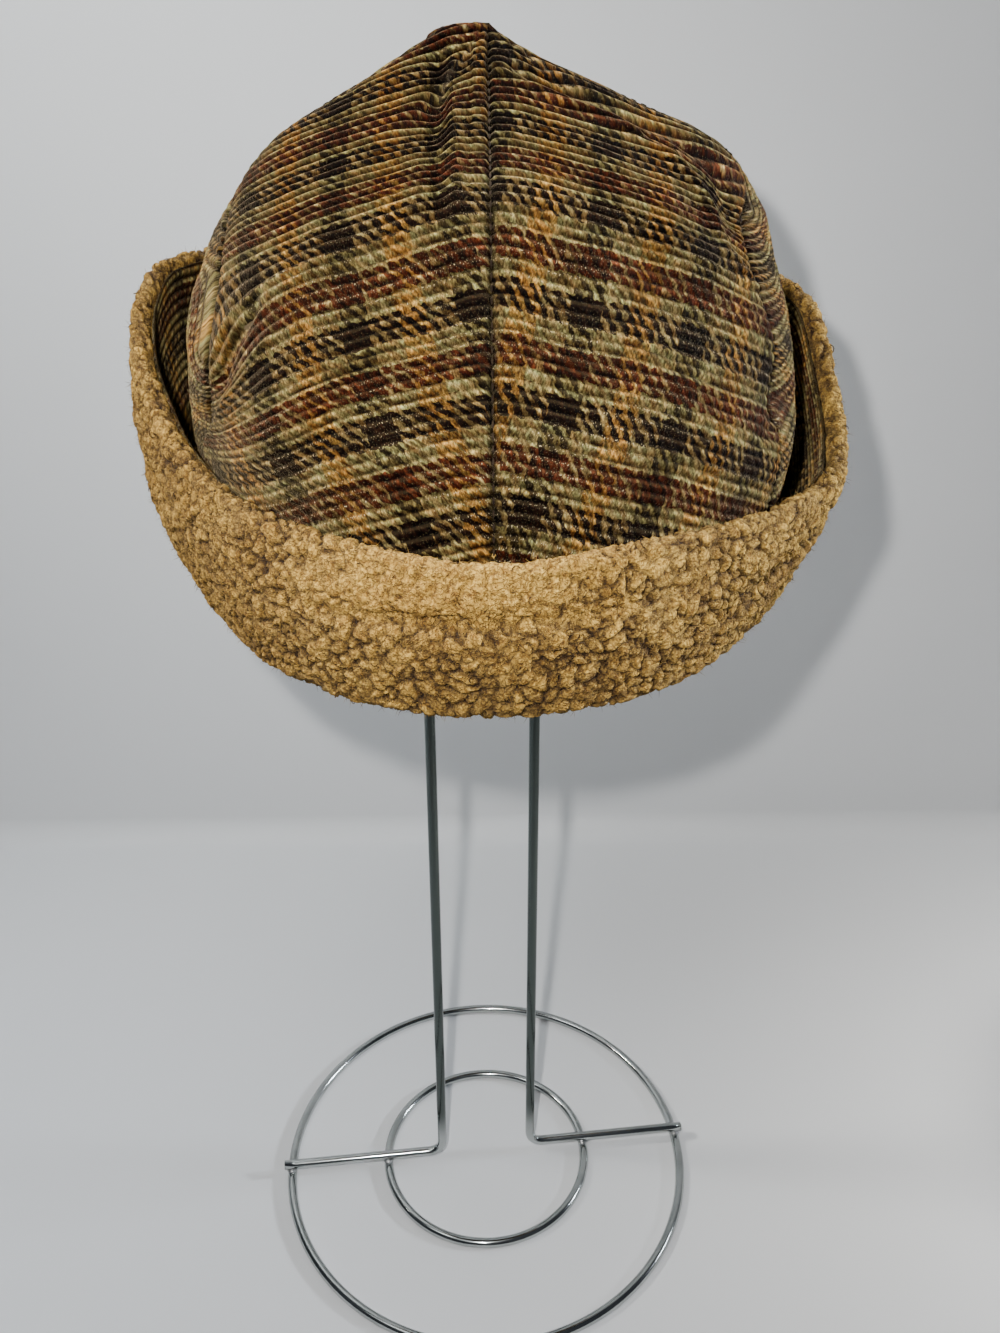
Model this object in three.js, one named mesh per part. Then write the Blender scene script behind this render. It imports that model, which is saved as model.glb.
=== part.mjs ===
// Corduroy earflap cap with a turned-up fleece cuff, on a chrome wire hat stand.
// Millimetres, +Z up, the cap's front faces -Y, and +X is the right-hand side seen from the front.
// Cloth shapes are worked out in turns about the cap's upright axis: azimuth 0 is the centre front,
// and azimuth grows towards +X. The whole is centred on its own bounding box at the end.
import * as THREE from 'three';

// Cloth and clearances
const CORDUROY = 1.3;
const FLEECE = 6.0;
const FLEECE_LINING = 4.5;
const GAP = 0.3;
const CUFF_SLACK = 0.2;
const CAP_AXIS = { x: 3.0, y: -1.0 };

// Heights of the folded bottom edge of the cap
const FOLD_Z = 297.5;
const FOLD_THICKNESS = 4.5;
const LINING_TOP_Z = 338;

// Wire stand
const WIRE = 4.0;
const OUTER_RING_RADIUS = 90;
const INNER_RING_RADIUS = 46.7;
const UPRIGHT_SPREAD_FOOT = 20.0;
const UPRIGHT_SPREAD_TOP = 18.7;
const UPRIGHT_TOP_Z = 288;
const FOOT_REACH = 91;
const FOOT_BEND = 7;
const HOOP = { halfWidth: 74, height: 83, centreZ: 356, shoulderZ: 322, neckHalfWidth: 18.4, neckZ: 325 };
const STAND_TURN = THREE.MathUtils.degToRad(5.5);

// Outer radius of the crown in eight directions, one row for each level section.
const CROWN_SECTIONS = [
  { z: 300.0, front: 98.3, frontRight: 92.0, right: 86.0, backRight: 93.5,
    back: 98.0, backLeft: 93.0, left: 84.5, frontLeft: 90.5 },
  { z: 320.0, front: 98.8, frontRight: 93.5, right: 88.0, backRight: 95.0,
    back: 99.0, backLeft: 94.5, left: 86.5, frontLeft: 92.0 },
  { z: 336.0, front: 99.3, frontRight: 95.0, right: 90.0, backRight: 96.0,
    back: 99.0, backLeft: 95.5, left: 88.0, frontLeft: 93.0 },
  { z: 350.0, front: 96.5, frontRight: 95.0, right: 91.0, backRight: 95.5,
    back: 97.5, backLeft: 95.0, left: 89.0, frontLeft: 92.5 },
  { z: 370.0, front: 84.5, frontRight: 88.5, right: 89.0, backRight: 91.0,
    back: 92.0, backLeft: 90.0, left: 88.5, frontLeft: 87.0 },
  { z: 390.0, front: 70.0, frontRight: 78.0, right: 82.5, backRight: 82.0,
    back: 82.0, backLeft: 81.0, left: 82.5, frontLeft: 75.5 },
  { z: 404.0, front: 61.0, frontRight: 69.0, right: 78.0, backRight: 71.0,
    back: 71.0, backLeft: 69.0, left: 74.7, frontLeft: 65.5 },
  { z: 412.0, front: 54.5, frontRight: 62.0, right: 73.5, backRight: 64.0,
    back: 64.0, backLeft: 62.0, left: 69.3, frontLeft: 58.5 },
  { z: 421.0, front: 41.0, frontRight: 48.0, right: 64.5, backRight: 51.0,
    back: 51.0, backLeft: 49.0, left: 60.5, frontLeft: 46.5 },
  { z: 430.0, front: 27.0, frontRight: 31.0, right: 44.5, backRight: 34.0,
    back: 34.0, backLeft: 33.5, left: 46.5, frontLeft: 31.0 },
  { z: 438.0, front: 15.5, frontRight: 17.0, right: 23.5, backRight: 18.0,
    back: 18.5, backLeft: 20.0, left: 31.0, frontLeft: 18.5 },
  { z: 445.0, front: 6.0, frontRight: 6.5, right: 7.5, backRight: 6.5,
    back: 7.5, backLeft: 9.0, left: 18.5, frontLeft: 7.5 },
  { z: 449.3, front: 1.2, frontRight: 1.1, right: 1.0, backRight: 1.2,
    back: 1.5, backLeft: 2.2, left: 10.5, frontLeft: 2.0 },
  { z: 449.8, front: 0.5, frontRight: 0.5, right: 0.5, backRight: 0.5,
    back: 0.5, backLeft: 0.6, left: 1.2, frontLeft: 0.6 },
];
const DIRECTIONS = ['front', 'frontRight', 'right', 'backRight', 'back', 'backLeft', 'left', 'frontLeft'];

// Soft folds of the crown: each is a rounded swell (lift > 0) or dent (lift < 0) centred at an
// azimuth and height, `across` degrees wide and `tall` mm high, leaning by `lean` degrees for each mm.
const CROWN_FOLDS = [
  { azimuth: 44, z: 402, across: 7, tall: 30, lean: -0.55, lift: 1.6 },
  { azimuth: 33, z: 396, across: 6, tall: 26, lean: -0.50, lift: -1.2 },
  { azimuth: -20, z: 424, across: 9, tall: 16, lean: 0.0, lift: 1.0 },
  { azimuth: -56, z: 360, across: 6, tall: 20, lean: 0.60, lift: -2.6 },
  { azimuth: -42, z: 352, across: 7, tall: 16, lean: 0.60, lift: 1.2 },
  { azimuth: 54, z: 347, across: 16, tall: 9, lean: 0.0, lift: 1.2 },
  { azimuth: 60, z: 361, across: 10, tall: 9, lean: 0.0, lift: -2.6 },
];

// Azimuth of the two side seams, one row for each height: they swing forward as they come down.
const SIDE_SEAMS = [
  { z: 300, right: 54, left: 300 },
  { z: 345, right: 54.5, left: 300 },
  { z: 366, right: 57.5, left: 301 },
  { z: 385, right: 60.5, left: 296 },
  { z: 398, right: 61.5, left: 288 },
  { z: 405, right: 66, left: 280 },
  { z: 412, right: 78, left: 274 },
  { z: 421, right: 87, left: 272 },
  { z: 450, right: 88, left: 272 },
];

// The turned-up cuff, one row for each azimuth: height of its rim, and outer radius of the fleece
// at the rim, half way up and at the fold.
const CUFF_SECTIONS = [
  { azimuth: 0, rimZ: 338.0, rim: 107.5, middle: 110.5, fold: 109.0 },
  { azimuth: 20, rimZ: 340.5, rim: 106.0, middle: 109.0, fold: 107.0 },
  { azimuth: 40, rimZ: 339.0, rim: 104.0, middle: 105.5, fold: 102.5 },
  { azimuth: 57, rimZ: 337.5, rim: 104.5, middle: 103.5, fold: 99.0 },
  { azimuth: 72, rimZ: 339.5, rim: 108.5, middle: 105.0, fold: 97.5 },
  { azimuth: 84, rimZ: 348.0, rim: 108.5, middle: 106.0, fold: 96.5 },
  { azimuth: 94, rimZ: 362.5, rim: 107.5, middle: 106.5, fold: 96.5 },
  { azimuth: 104, rimZ: 375.5, rim: 108.0, middle: 107.0, fold: 97.5 },
  { azimuth: 120, rimZ: 380.5, rim: 109.0, middle: 107.5, fold: 101.0 },
  { azimuth: 150, rimZ: 376.0, rim: 109.5, middle: 109.5, fold: 105.0 },
  { azimuth: 180, rimZ: 371.0, rim: 110.5, middle: 111.0, fold: 107.5 },
  { azimuth: 210, rimZ: 376.0, rim: 109.5, middle: 109.5, fold: 104.5 },
  { azimuth: 240, rimZ: 387.0, rim: 109.0, middle: 107.0, fold: 100.0 },
  { azimuth: 255, rimZ: 386.5, rim: 108.0, middle: 106.5, fold: 96.5 },
  { azimuth: 267, rimZ: 380.0, rim: 106.5, middle: 106.5, fold: 95.5 },
  { azimuth: 280, rimZ: 368.0, rim: 104.0, middle: 105.0, fold: 95.0 },
  { azimuth: 292, rimZ: 357.0, rim: 101.0, middle: 102.5, fold: 95.5 },
  { azimuth: 305, rimZ: 349.5, rim: 100.5, middle: 101.5, fold: 97.0 },
  { azimuth: 320, rimZ: 344.5, rim: 102.5, middle: 104.5, fold: 101.0 },
  { azimuth: 340, rimZ: 341.0, rim: 105.5, middle: 108.5, fold: 106.0 },
];

// Creases pressed into the fleece: centre, width and height as for the crown's folds.
const CUFF_CREASES = [
  { azimuth: 58, z: 322, across: 22, tall: 3.6, slope: 0.22, depth: 3.2 },
  { azimuth: 16, z: 328, across: 22, tall: 3.0, slope: 0.05, depth: 1.2 },
  { azimuth: -72, z: 336, across: 12, tall: 4.0, slope: -0.30, depth: 1.8 },
];

// Where the fleece rounds its rim and its folds, as shares of its thickness
const RIM_ROUND = [
  { inward: 0.15, up: 0.35 },
  { inward: 0.5, up: 0.5 },
  { inward: 0.85, up: 0.35 },
];
const FOLD_ROUND = 0.3;

// The crown's point: the inner face keeps at least this share of the outer radius.
const LEAST_INNER_SHARE = 0.6;
const SLOPE_STEP = 0.5;

// Facets of the model
const CUFF_STEPS = 64;
const PANEL_STEPS = 16;
const LEG_STEPS = 6;
const PANEL_HEIGHTS = [320, 332, 341, 350, 360, 370, 380, 390, 397, 404, 408, 412, 421, 430, 438, 445, 449.3, 449.8];
const WIRE_SIDES = 8;
const OUTER_RING_STEPS = 56;
const INNER_RING_STEPS = 40;
const STAND_STEPS = 128;

const COLOURS = { corduroy: 0x6f5a38, facing: 0x5c4a30, fleece: 0xb08a50, chrome: 0xb9bec4 };

// ---- Interpolation of the tables

// Smooth curve through (xs, ys) that doesn't overshoot its values.
function monotone(xs, ys, x) {
  const last = xs.length - 1;
  const at = THREE.MathUtils.clamp(x, xs[0], xs[last]);
  let i = 0;
  while (i < last - 1 && at > xs[i + 1]) i += 1;
  const secant = (k) => (ys[k + 1] - ys[k]) / (xs[k + 1] - xs[k]);
  const slope = (k) => {
    if (k === 0) return secant(0);
    if (k === last) return secant(last - 1);
    const before = secant(k - 1);
    const after = secant(k);
    if (before * after <= 0) return 0;
    const w1 = 2 * (xs[k + 1] - xs[k]) + (xs[k] - xs[k - 1]);
    const w2 = (xs[k + 1] - xs[k]) + 2 * (xs[k] - xs[k - 1]);
    return (w1 + w2) / (w1 / before + w2 / after);
  };
  const span = xs[i + 1] - xs[i];
  const t = (at - xs[i]) / span;
  const t2 = t * t;
  const t3 = t2 * t;
  return (2 * t3 - 3 * t2 + 1) * ys[i] + (t3 - 2 * t2 + t) * span * slope(i)
    + (3 * t2 - 2 * t3) * ys[i + 1] + (t3 - t2) * span * slope(i + 1);
}

// Closed smooth curve through values spaced evenly round the axis.
function roundAxis(values, azimuth) {
  const count = values.length;
  const place = THREE.MathUtils.euclideanModulo(azimuth / 360, 1) * count;
  const i = Math.floor(place);
  const t = place - i;
  const [a, b, c, d] = [-1, 0, 1, 2].map((step) => values[(i + step + count) % count]);
  return 0.5 * (2 * b + (c - a) * t + (2 * a - 5 * b + 4 * c - d) * t * t
    + (3 * b - a - 3 * c + d) * t * t * t);
}

const signedTurn = (degrees) => THREE.MathUtils.euclideanModulo(degrees + 180, 360) - 180;

function crownFoldLift(azimuth, z) {
  return CROWN_FOLDS.reduce((sum, fold) => {
    const up = z - fold.z;
    const off = signedTurn(azimuth - fold.azimuth - fold.lean * up) / fold.across;
    return sum + fold.lift * Math.exp(-off * off - (up / fold.tall) ** 2);
  }, 0);
}

const crownHeights = CROWN_SECTIONS.map((row) => row.z);

function crownRadius(azimuth, z) {
  const level = DIRECTIONS.map((name) => monotone(crownHeights, CROWN_SECTIONS.map((row) => row[name]), z));
  return roundAxis(level, azimuth) + crownFoldLift(azimuth, z);
}

// The cuff's table with its last rows repeated before it and its first rows after it, so that it
// joins up at the centre front.
const cuffRows = [
  ...CUFF_SECTIONS.slice(-3).map((row) => ({ ...row, azimuth: row.azimuth - 360 })),
  ...CUFF_SECTIONS,
  ...CUFF_SECTIONS.slice(0, 3).map((row) => ({ ...row, azimuth: row.azimuth + 360 })),
];
const cuffAzimuths = cuffRows.map((row) => row.azimuth);

function cuffValue(name, azimuth) {
  const turn = THREE.MathUtils.euclideanModulo(azimuth, 360);
  return monotone(cuffAzimuths, cuffRows.map((row) => row[name]), turn);
}

function creaseDepth(azimuth, z) {
  return CUFF_CREASES.reduce((sum, crease) => {
    const along = signedTurn(azimuth - crease.azimuth);
    const off = (z - crease.z - crease.slope * along) / crease.tall;
    return sum + crease.depth * Math.exp(-off * off - (along / crease.across) ** 2);
  }, 0);
}

// Outer surface of the cuff's fleece at a share of the way from the fold, 0, to the rim, 1. It never
// comes closer to the crown than the layers of cloth between them.
function cuffPoint(azimuth, share) {
  const fold = cuffValue('fold', azimuth);
  const middle = cuffValue('middle', azimuth);
  const rim = cuffValue('rim', azimuth);
  const base = FOLD_Z + FOLD_THICKNESS;
  const z = base + (cuffValue('rimZ', azimuth) - FLEECE / 2 - base) * share;
  const wanted = fold * (1 - share) * (1 - 2 * share) + middle * 4 * share * (1 - share)
    + rim * share * (2 * share - 1);
  const closest = crownRadius(azimuth, z) + FLEECE + CORDUROY + 2 * GAP + CUFF_SLACK;
  return { r: Math.max(wanted, closest), z };
}

// ---- Solids from sections

function aroundAxis(azimuth, r, z) {
  const turn = THREE.MathUtils.degToRad(azimuth);
  return new THREE.Vector3(CAP_AXIS.x + r * Math.sin(turn), CAP_AXIS.y - r * Math.cos(turn), z);
}

// A solid through closed sections of equal length. An open one is capped at both ends, where the
// first half of a section faces its second half taken backwards.
function loft(sections, joinsUp) {
  const size = sections[0].length;
  const index = [];
  const at = (section, k) => (section % sections.length) * size + (k % size);
  const spans = joinsUp ? sections.length : sections.length - 1;
  for (let s = 0; s < spans; s += 1) {
    for (let k = 0; k < size; k += 1) {
      index.push(at(s, k), at(s + 1, k), at(s + 1, k + 1));
      index.push(at(s, k), at(s + 1, k + 1), at(s, k + 1));
    }
  }
  if (!joinsUp) {
    for (let k = 0; k < size / 2 - 1; k += 1) {
      const [a, b, c, d] = [k, k + 1, size - 2 - k, size - 1 - k];
      index.push(at(0, a), at(0, b), at(0, c), at(0, a), at(0, c), at(0, d));
      const end = sections.length - 1;
      index.push(at(end, a), at(end, c), at(end, b), at(end, a), at(end, d), at(end, c));
    }
  }
  const geometry = new THREE.BufferGeometry();
  geometry.setAttribute('position', new THREE.Float32BufferAttribute(
    sections.flat().flatMap((point) => point.toArray()), 3));
  geometry.setIndex(index);
  geometry.computeVertexNormals();
  return geometry;
}

function sectionsAroundCap(outline) {
  return Array.from({ length: CUFF_STEPS }, (_, step) => {
    const azimuth = (360 * step) / CUFF_STEPS;
    return outline(azimuth).map(([r, z]) => aroundAxis(azimuth, r, z));
  });
}

// ---- Pieces of the cap

const seamHeights = SIDE_SEAMS.map((row) => row.z);
const SEAMS = {
  front: () => 0,
  right: (z) => monotone(seamHeights, SIDE_SEAMS.map((row) => row.right), z),
  back: () => 180,
  left: (z) => monotone(seamHeights, SIDE_SEAMS.map((row) => row.left), z),
  frontAgain: () => 360,
};

// A quarter of the crown between two seams. Its inner face lies a cloth's thickness in from the
// outer one, and both stop half a gap short of each seam.
function crownPanel(fromSeam, toSeam) {
  const heights = [FOLD_Z + FOLD_THICKNESS + CORDUROY + 2 * GAP, ...PANEL_HEIGHTS];
  const panelPoint = (share, z, inside) => {
    const fromAzimuth = fromSeam(z);
    const toAzimuth = toSeam(z);
    const middle = fromAzimuth + (toAzimuth - fromAzimuth) * share;
    const radius = crownRadius(middle, z);
    const below = crownRadius(middle, z - SLOPE_STEP);
    const fall = (radius - below) / SLOPE_STEP;
    const length = Math.hypot(1, fall);
    const r = inside ? Math.max(radius - CORDUROY / length, LEAST_INNER_SHARE * radius) : radius;
    const height = inside ? z + (CORDUROY * fall) / length : z;
    const clear = THREE.MathUtils.radToDeg(Math.asin(GAP / 2 / r));
    const azimuth = fromAzimuth + clear + (toAzimuth - fromAzimuth - 2 * clear) * share;
    return aroundAxis(azimuth, r, height);
  };
  const sections = Array.from({ length: PANEL_STEPS + 1 }, (_, step) => {
    const share = step / PANEL_STEPS;
    const outer = heights.map((z) => panelPoint(share, z, false));
    const inner = heights.map((z) => panelPoint(share, z, true)).reverse();
    return [...outer, ...inner];
  });
  return loft(sections, false);
}

// The corduroy face of the cuff, which turns under the crown's bottom edge.
function cuffFacing() {
  const floor = FOLD_Z + FOLD_THICKNESS + GAP;
  return loft(sectionsAroundCap((azimuth) => {
    const shares = Array.from({ length: LEG_STEPS + 1 }, (_, step) => step / LEG_STEPS);
    const leg = shares.map((share) => cuffPoint(azimuth, share));
    leg[0].z = floor;
    const outer = leg.map((point) => [point.r - FLEECE - GAP, point.z]);
    const inner = leg.map((point) => [point.r - FLEECE - GAP - CORDUROY, point.z]).reverse();
    inner[LEG_STEPS][1] = floor + CORDUROY;
    const underCrown = crownRadius(azimuth, floor) - CORDUROY;
    return [...outer, ...inner, [underCrown, floor + CORDUROY], [underCrown, floor]];
  }), true);
}

// The fleece: outside of the cuff, round the fold, and up inside the cap as its lining.
function cuffFleece() {
  const floor = FOLD_Z + FOLD_THICKNESS;
  return loft(sectionsAroundCap((azimuth) => {
    const shares = Array.from({ length: LEG_STEPS + 1 }, (_, step) => step / LEG_STEPS);
    const leg = shares.map((share) => cuffPoint(azimuth, share));
    const outer = leg.map(({ r, z }) => [r - creaseDepth(azimuth, z), z]);
    const inner = leg.map(({ r, z }) => [r - FLEECE, z]).reverse();
    const foot = leg[0];
    const rim = leg[LEG_STEPS];
    const liningHeights = [floor, (floor + LINING_TOP_Z) / 2, LINING_TOP_Z];
    const liningBack = liningHeights.map((z) => [crownRadius(azimuth, z) - CORDUROY - 1.5 * GAP, z]);
    const liningFace = liningBack.map(([r, z]) => [r - FLEECE_LINING, z]).reverse();
    const liningFoot = liningFace[liningFace.length - 1][0];
    return [
      [foot.r - FLEECE, FOLD_Z],
      [foot.r - FOLD_ROUND * FLEECE, FOLD_Z + FOLD_ROUND * FOLD_THICKNESS],
      ...outer,
      ...RIM_ROUND.map(({ inward, up }) => [rim.r - inward * FLEECE, rim.z + up * FLEECE]),
      ...inner,
      ...liningBack,
      ...liningFace,
      [liningFoot + FOLD_ROUND * FLEECE_LINING, FOLD_Z],
    ];
  }), true);
}

// ---- Pieces of the stand

// Eight-sided section of the wire, with a flat side down.
function wireSection() {
  const corner = WIRE / 2 / Math.cos(Math.PI / WIRE_SIDES);
  return Array.from({ length: WIRE_SIDES }, (_, k) => {
    const turn = ((k + 0.5) * 2 * Math.PI) / WIRE_SIDES;
    return new THREE.Vector2(corner * Math.cos(turn), corner * Math.sin(turn));
  });
}

function baseRing(outerRadius, segments) {
  const centre = new THREE.Vector2(outerRadius - WIRE / 2, 0);
  const profile = wireSection().map((point) => point.add(centre));
  const ring = new THREE.LatheGeometry([...profile, profile[0]], segments);
  ring.rotateX(Math.PI / 2);
  ring.translate(0, 0, WIRE / 2);
  return ring;
}

// One wire: foot, upright, over the hoop that the cap sits on, and down to the other foot.
function standFrame() {
  const footZ = WIRE * 1.5 + GAP;
  const footIn = UPRIGHT_SPREAD_FOOT + FOOT_BEND;
  const route = new THREE.Path();
  route.moveTo(FOOT_REACH, footZ);
  route.lineTo(footIn, footZ);
  route.quadraticCurveTo(UPRIGHT_SPREAD_FOOT, footZ, UPRIGHT_SPREAD_FOOT, footZ + FOOT_BEND);
  route.lineTo(UPRIGHT_SPREAD_TOP, UPRIGHT_TOP_Z);
  const { halfWidth, height, centreZ, shoulderZ, neckHalfWidth, neckZ } = HOOP;
  route.bezierCurveTo(neckHalfWidth, neckZ, halfWidth, shoulderZ, halfWidth, centreZ);
  route.absellipse(0, centreZ, halfWidth, height, 0, Math.PI, false);
  route.bezierCurveTo(-halfWidth, shoulderZ, -neckHalfWidth, neckZ, -UPRIGHT_SPREAD_TOP, UPRIGHT_TOP_Z);
  route.lineTo(-UPRIGHT_SPREAD_FOOT, footZ + FOOT_BEND);
  route.quadraticCurveTo(-UPRIGHT_SPREAD_FOOT, footZ, -footIn, footZ);
  route.lineTo(-FOOT_REACH, footZ);
  const points = route.getSpacedPoints(STAND_STEPS).map((point) => new THREE.Vector3(point.x, 0, point.y));
  const frame = new THREE.ExtrudeGeometry(new THREE.Shape(wireSection()), {
    steps: STAND_STEPS,
    bevelEnabled: false,
    extrudePath: new THREE.CatmullRomCurve3(points),
  });
  frame.rotateZ(STAND_TURN);
  return frame;
}

// ---- Assembly

const group = new THREE.Group();

function addPiece(name, geometry, color, roughness, metalness) {
  const piece = new THREE.Mesh(geometry, new THREE.MeshStandardMaterial({ color, roughness, metalness }));
  piece.name = name;
  group.add(piece);
}

addPiece('base_ring_outer', baseRing(OUTER_RING_RADIUS, OUTER_RING_STEPS), COLOURS.chrome, 0.15, 1);
addPiece('base_ring_inner', baseRing(INNER_RING_RADIUS, INNER_RING_STEPS), COLOURS.chrome, 0.15, 1);
addPiece('stand_frame', standFrame(), COLOURS.chrome, 0.15, 1);

const { front, right, back, left, frontAgain } = SEAMS;
addPiece('crown_panel_front_right', crownPanel(front, right), COLOURS.corduroy, 0.9, 0);
addPiece('crown_panel_back_right', crownPanel(right, back), COLOURS.corduroy, 0.9, 0);
addPiece('crown_panel_back_left', crownPanel(back, left), COLOURS.corduroy, 0.9, 0);
addPiece('crown_panel_front_left', crownPanel(left, frontAgain), COLOURS.corduroy, 0.9, 0);
addPiece('cuff_facing', cuffFacing(), COLOURS.facing, 0.9, 0);
addPiece('cuff_fleece', cuffFleece(), COLOURS.fleece, 1, 0);

// The origin is the bottom centre of the whole.
const box = new THREE.Box3().setFromObject(group);
const centre = box.getCenter(new THREE.Vector3());
group.position.set(-centre.x, -centre.y, -box.min.z);
group.updateMatrixWorld(true);

export default group;
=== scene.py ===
import math

import bpy
import numpy as np
from bpy.props import FloatProperty, FloatVectorProperty, IntProperty, PointerProperty
from bpy.types import Operator, Panel, PropertyGroup
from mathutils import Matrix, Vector


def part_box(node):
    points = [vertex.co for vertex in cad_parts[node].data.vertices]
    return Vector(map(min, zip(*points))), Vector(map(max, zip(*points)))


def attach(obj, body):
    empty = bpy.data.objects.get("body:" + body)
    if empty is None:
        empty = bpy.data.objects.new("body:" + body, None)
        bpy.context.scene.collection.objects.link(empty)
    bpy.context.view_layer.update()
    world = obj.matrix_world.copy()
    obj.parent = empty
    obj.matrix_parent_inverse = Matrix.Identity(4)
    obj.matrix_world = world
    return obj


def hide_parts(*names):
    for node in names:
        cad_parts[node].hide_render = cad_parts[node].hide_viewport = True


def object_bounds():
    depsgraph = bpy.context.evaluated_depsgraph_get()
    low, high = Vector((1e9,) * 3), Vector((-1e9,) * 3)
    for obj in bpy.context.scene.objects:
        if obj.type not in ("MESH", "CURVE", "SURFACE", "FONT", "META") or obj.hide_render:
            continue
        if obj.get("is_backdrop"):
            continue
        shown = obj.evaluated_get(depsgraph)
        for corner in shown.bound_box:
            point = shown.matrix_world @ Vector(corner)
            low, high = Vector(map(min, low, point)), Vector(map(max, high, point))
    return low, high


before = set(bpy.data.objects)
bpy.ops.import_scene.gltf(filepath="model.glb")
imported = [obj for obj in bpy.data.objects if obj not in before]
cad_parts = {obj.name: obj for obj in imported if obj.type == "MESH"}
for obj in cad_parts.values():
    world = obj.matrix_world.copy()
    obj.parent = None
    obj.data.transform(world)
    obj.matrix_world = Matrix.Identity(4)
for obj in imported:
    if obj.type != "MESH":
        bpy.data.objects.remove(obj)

bl_info = {
    "name": "Corduroy earflap cap",
    "version": (1, 0, 0),
    "blender": (4, 5, 0),
    "location": "View3D > Sidebar > Cap",
    "description": "Builds a plaid corduroy cap with a turned-up fleece cuff, on its wire stand",
    "category": "Object",
}

FRAME_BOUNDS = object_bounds()
MM = 0.001

# ---- The cap's shape, in millimetres from the stand's axis and the floor. Azimuth 0 is the centre
# front and grows towards +X.

CAP_AXIS = (3.0, -1.0)
CORDUROY_THICKNESS = 1.3
FLEECE_THICKNESS = 6.0
LINING_THICKNESS = 4.5
LINING_GAP = 0.45
LAYER_GAP = 0.3
CUFF_CLEARANCE = 0.8
FOLD_Z = 297.5
CUFF_BASE_Z = 302.0
LINING_TOP_Z = 338.0
CROWN_BOTTOM_Z = 304.0
CROWN_TOP_Z = 449.8

# Outer radius of the crown: height, then front, front right, right, back right, back, back left,
# left and front left.
CROWN_SECTIONS = np.array([
    (300.0, 98.3, 92.0, 86.0, 93.5, 98.0, 93.0, 84.5, 90.5),
    (320.0, 98.8, 93.5, 88.0, 95.0, 99.0, 94.5, 86.5, 92.0),
    (336.0, 99.3, 95.0, 90.0, 96.0, 99.0, 95.5, 88.0, 93.0),
    (350.0, 96.5, 95.0, 91.0, 95.5, 97.5, 95.0, 89.0, 92.5),
    (370.0, 84.5, 88.5, 89.0, 91.0, 92.0, 90.0, 88.5, 87.0),
    (390.0, 70.0, 78.0, 82.5, 82.0, 82.0, 81.0, 82.5, 75.5),
    (404.0, 61.0, 69.0, 78.0, 71.0, 71.0, 69.0, 74.7, 65.5),
    (412.0, 54.5, 62.0, 73.5, 64.0, 64.0, 62.0, 69.3, 58.5),
    (421.0, 41.0, 48.0, 64.5, 51.0, 51.0, 49.0, 60.5, 46.5),
    (430.0, 27.0, 31.0, 44.5, 34.0, 34.0, 33.5, 46.5, 31.0),
    (438.0, 15.5, 17.0, 23.5, 18.0, 18.5, 20.0, 31.0, 18.5),
    (445.0, 6.0, 6.5, 7.5, 6.5, 7.5, 9.0, 18.5, 7.5),
    (449.3, 1.2, 1.1, 1.0, 1.2, 1.5, 2.2, 10.5, 2.0),
    (449.8, 0.5, 0.5, 0.5, 0.5, 0.5, 0.6, 1.2, 0.6),
])

# Soft folds of the crown: azimuth, height, width in degrees, height, lean in degrees for each mm,
# and lift.
CROWN_FOLDS = (
    (44, 402, 7, 30, -0.55, 1.6),
    (33, 396, 6, 26, -0.50, -1.2),
    (-20, 424, 9, 16, 0.0, 1.0),
    (-56, 360, 6, 20, 0.60, -2.6),
    (-42, 352, 7, 16, 0.60, 1.2),
    (54, 347, 16, 9, 0.0, 1.2),
    (60, 361, 10, 9, 0.0, -2.6),
)

# Azimuth of the two side seams at each height: they swing forward as they come down.
SIDE_SEAMS = np.array([
    (300, 54.0, 300), (345, 54.5, 300), (366, 57.5, 301), (385, 60.5, 296), (398, 61.5, 288),
    (405, 66.0, 280), (412, 78.0, 274), (421, 87.0, 272), (450, 88.0, 272),
], float)

# Creases of the crown's cloth: a path of (azimuth, height), how wide in mm, and how far it stands
# up (or sinks in) in mm.
CROWN_CREASES = (
    (((-60, 444.5), (-50, 442), (-29, 436.2), (-18, 429.4), (-11.5, 420.9), (-8.5, 410.8)), 2.2, 0.9),
    (((-55, 442), (-41, 437), (-33, 433.9), (-24, 427.2), (-16, 418.9), (-12.5, 409.8)), 3.2, -1.6),
    (((13, 438.8), (32, 435.7), (44, 432.7), (54, 427.5), (57.7, 422.1), (55.8, 414.9), (51.8, 399.3),
      (58, 389)), 2.2, 1.5),
    (((30, 438), (52, 435), (64, 430), (68, 424), (66, 415), (60, 405)), 4.0, -1.8),
    (((57.5, 423.5), (58.5, 421.5)), 2.0, -1.8),
    (((-50, 386), (-50.5, 380.4), (-51.8, 374.9), (-54, 368)), 2.2, -1.8),
    (((-43, 379), (-46.8, 370.7), (-52, 360), (-57, 350)), 3.0, 1.4),
    (((-56, 384), (-57, 375), (-57, 366)), 1.8, 0.9),
    (((40, 352), (52, 356), (58, 362)), 3.0, -1.2),
)

# Where the ribs of the front panels are pulled out of line: azimuth, height, reach in degrees and in
# mm, and how far they drop in mm.
RIB_BENDS = (
    (-62, 368, 15, 15, 17.0),
    (-58, 345, 12, 9, -5.0),
    (-30, 432, 9, 12, 2.2),
    (66, 408, 12, 14, 7.0),
)

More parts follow.
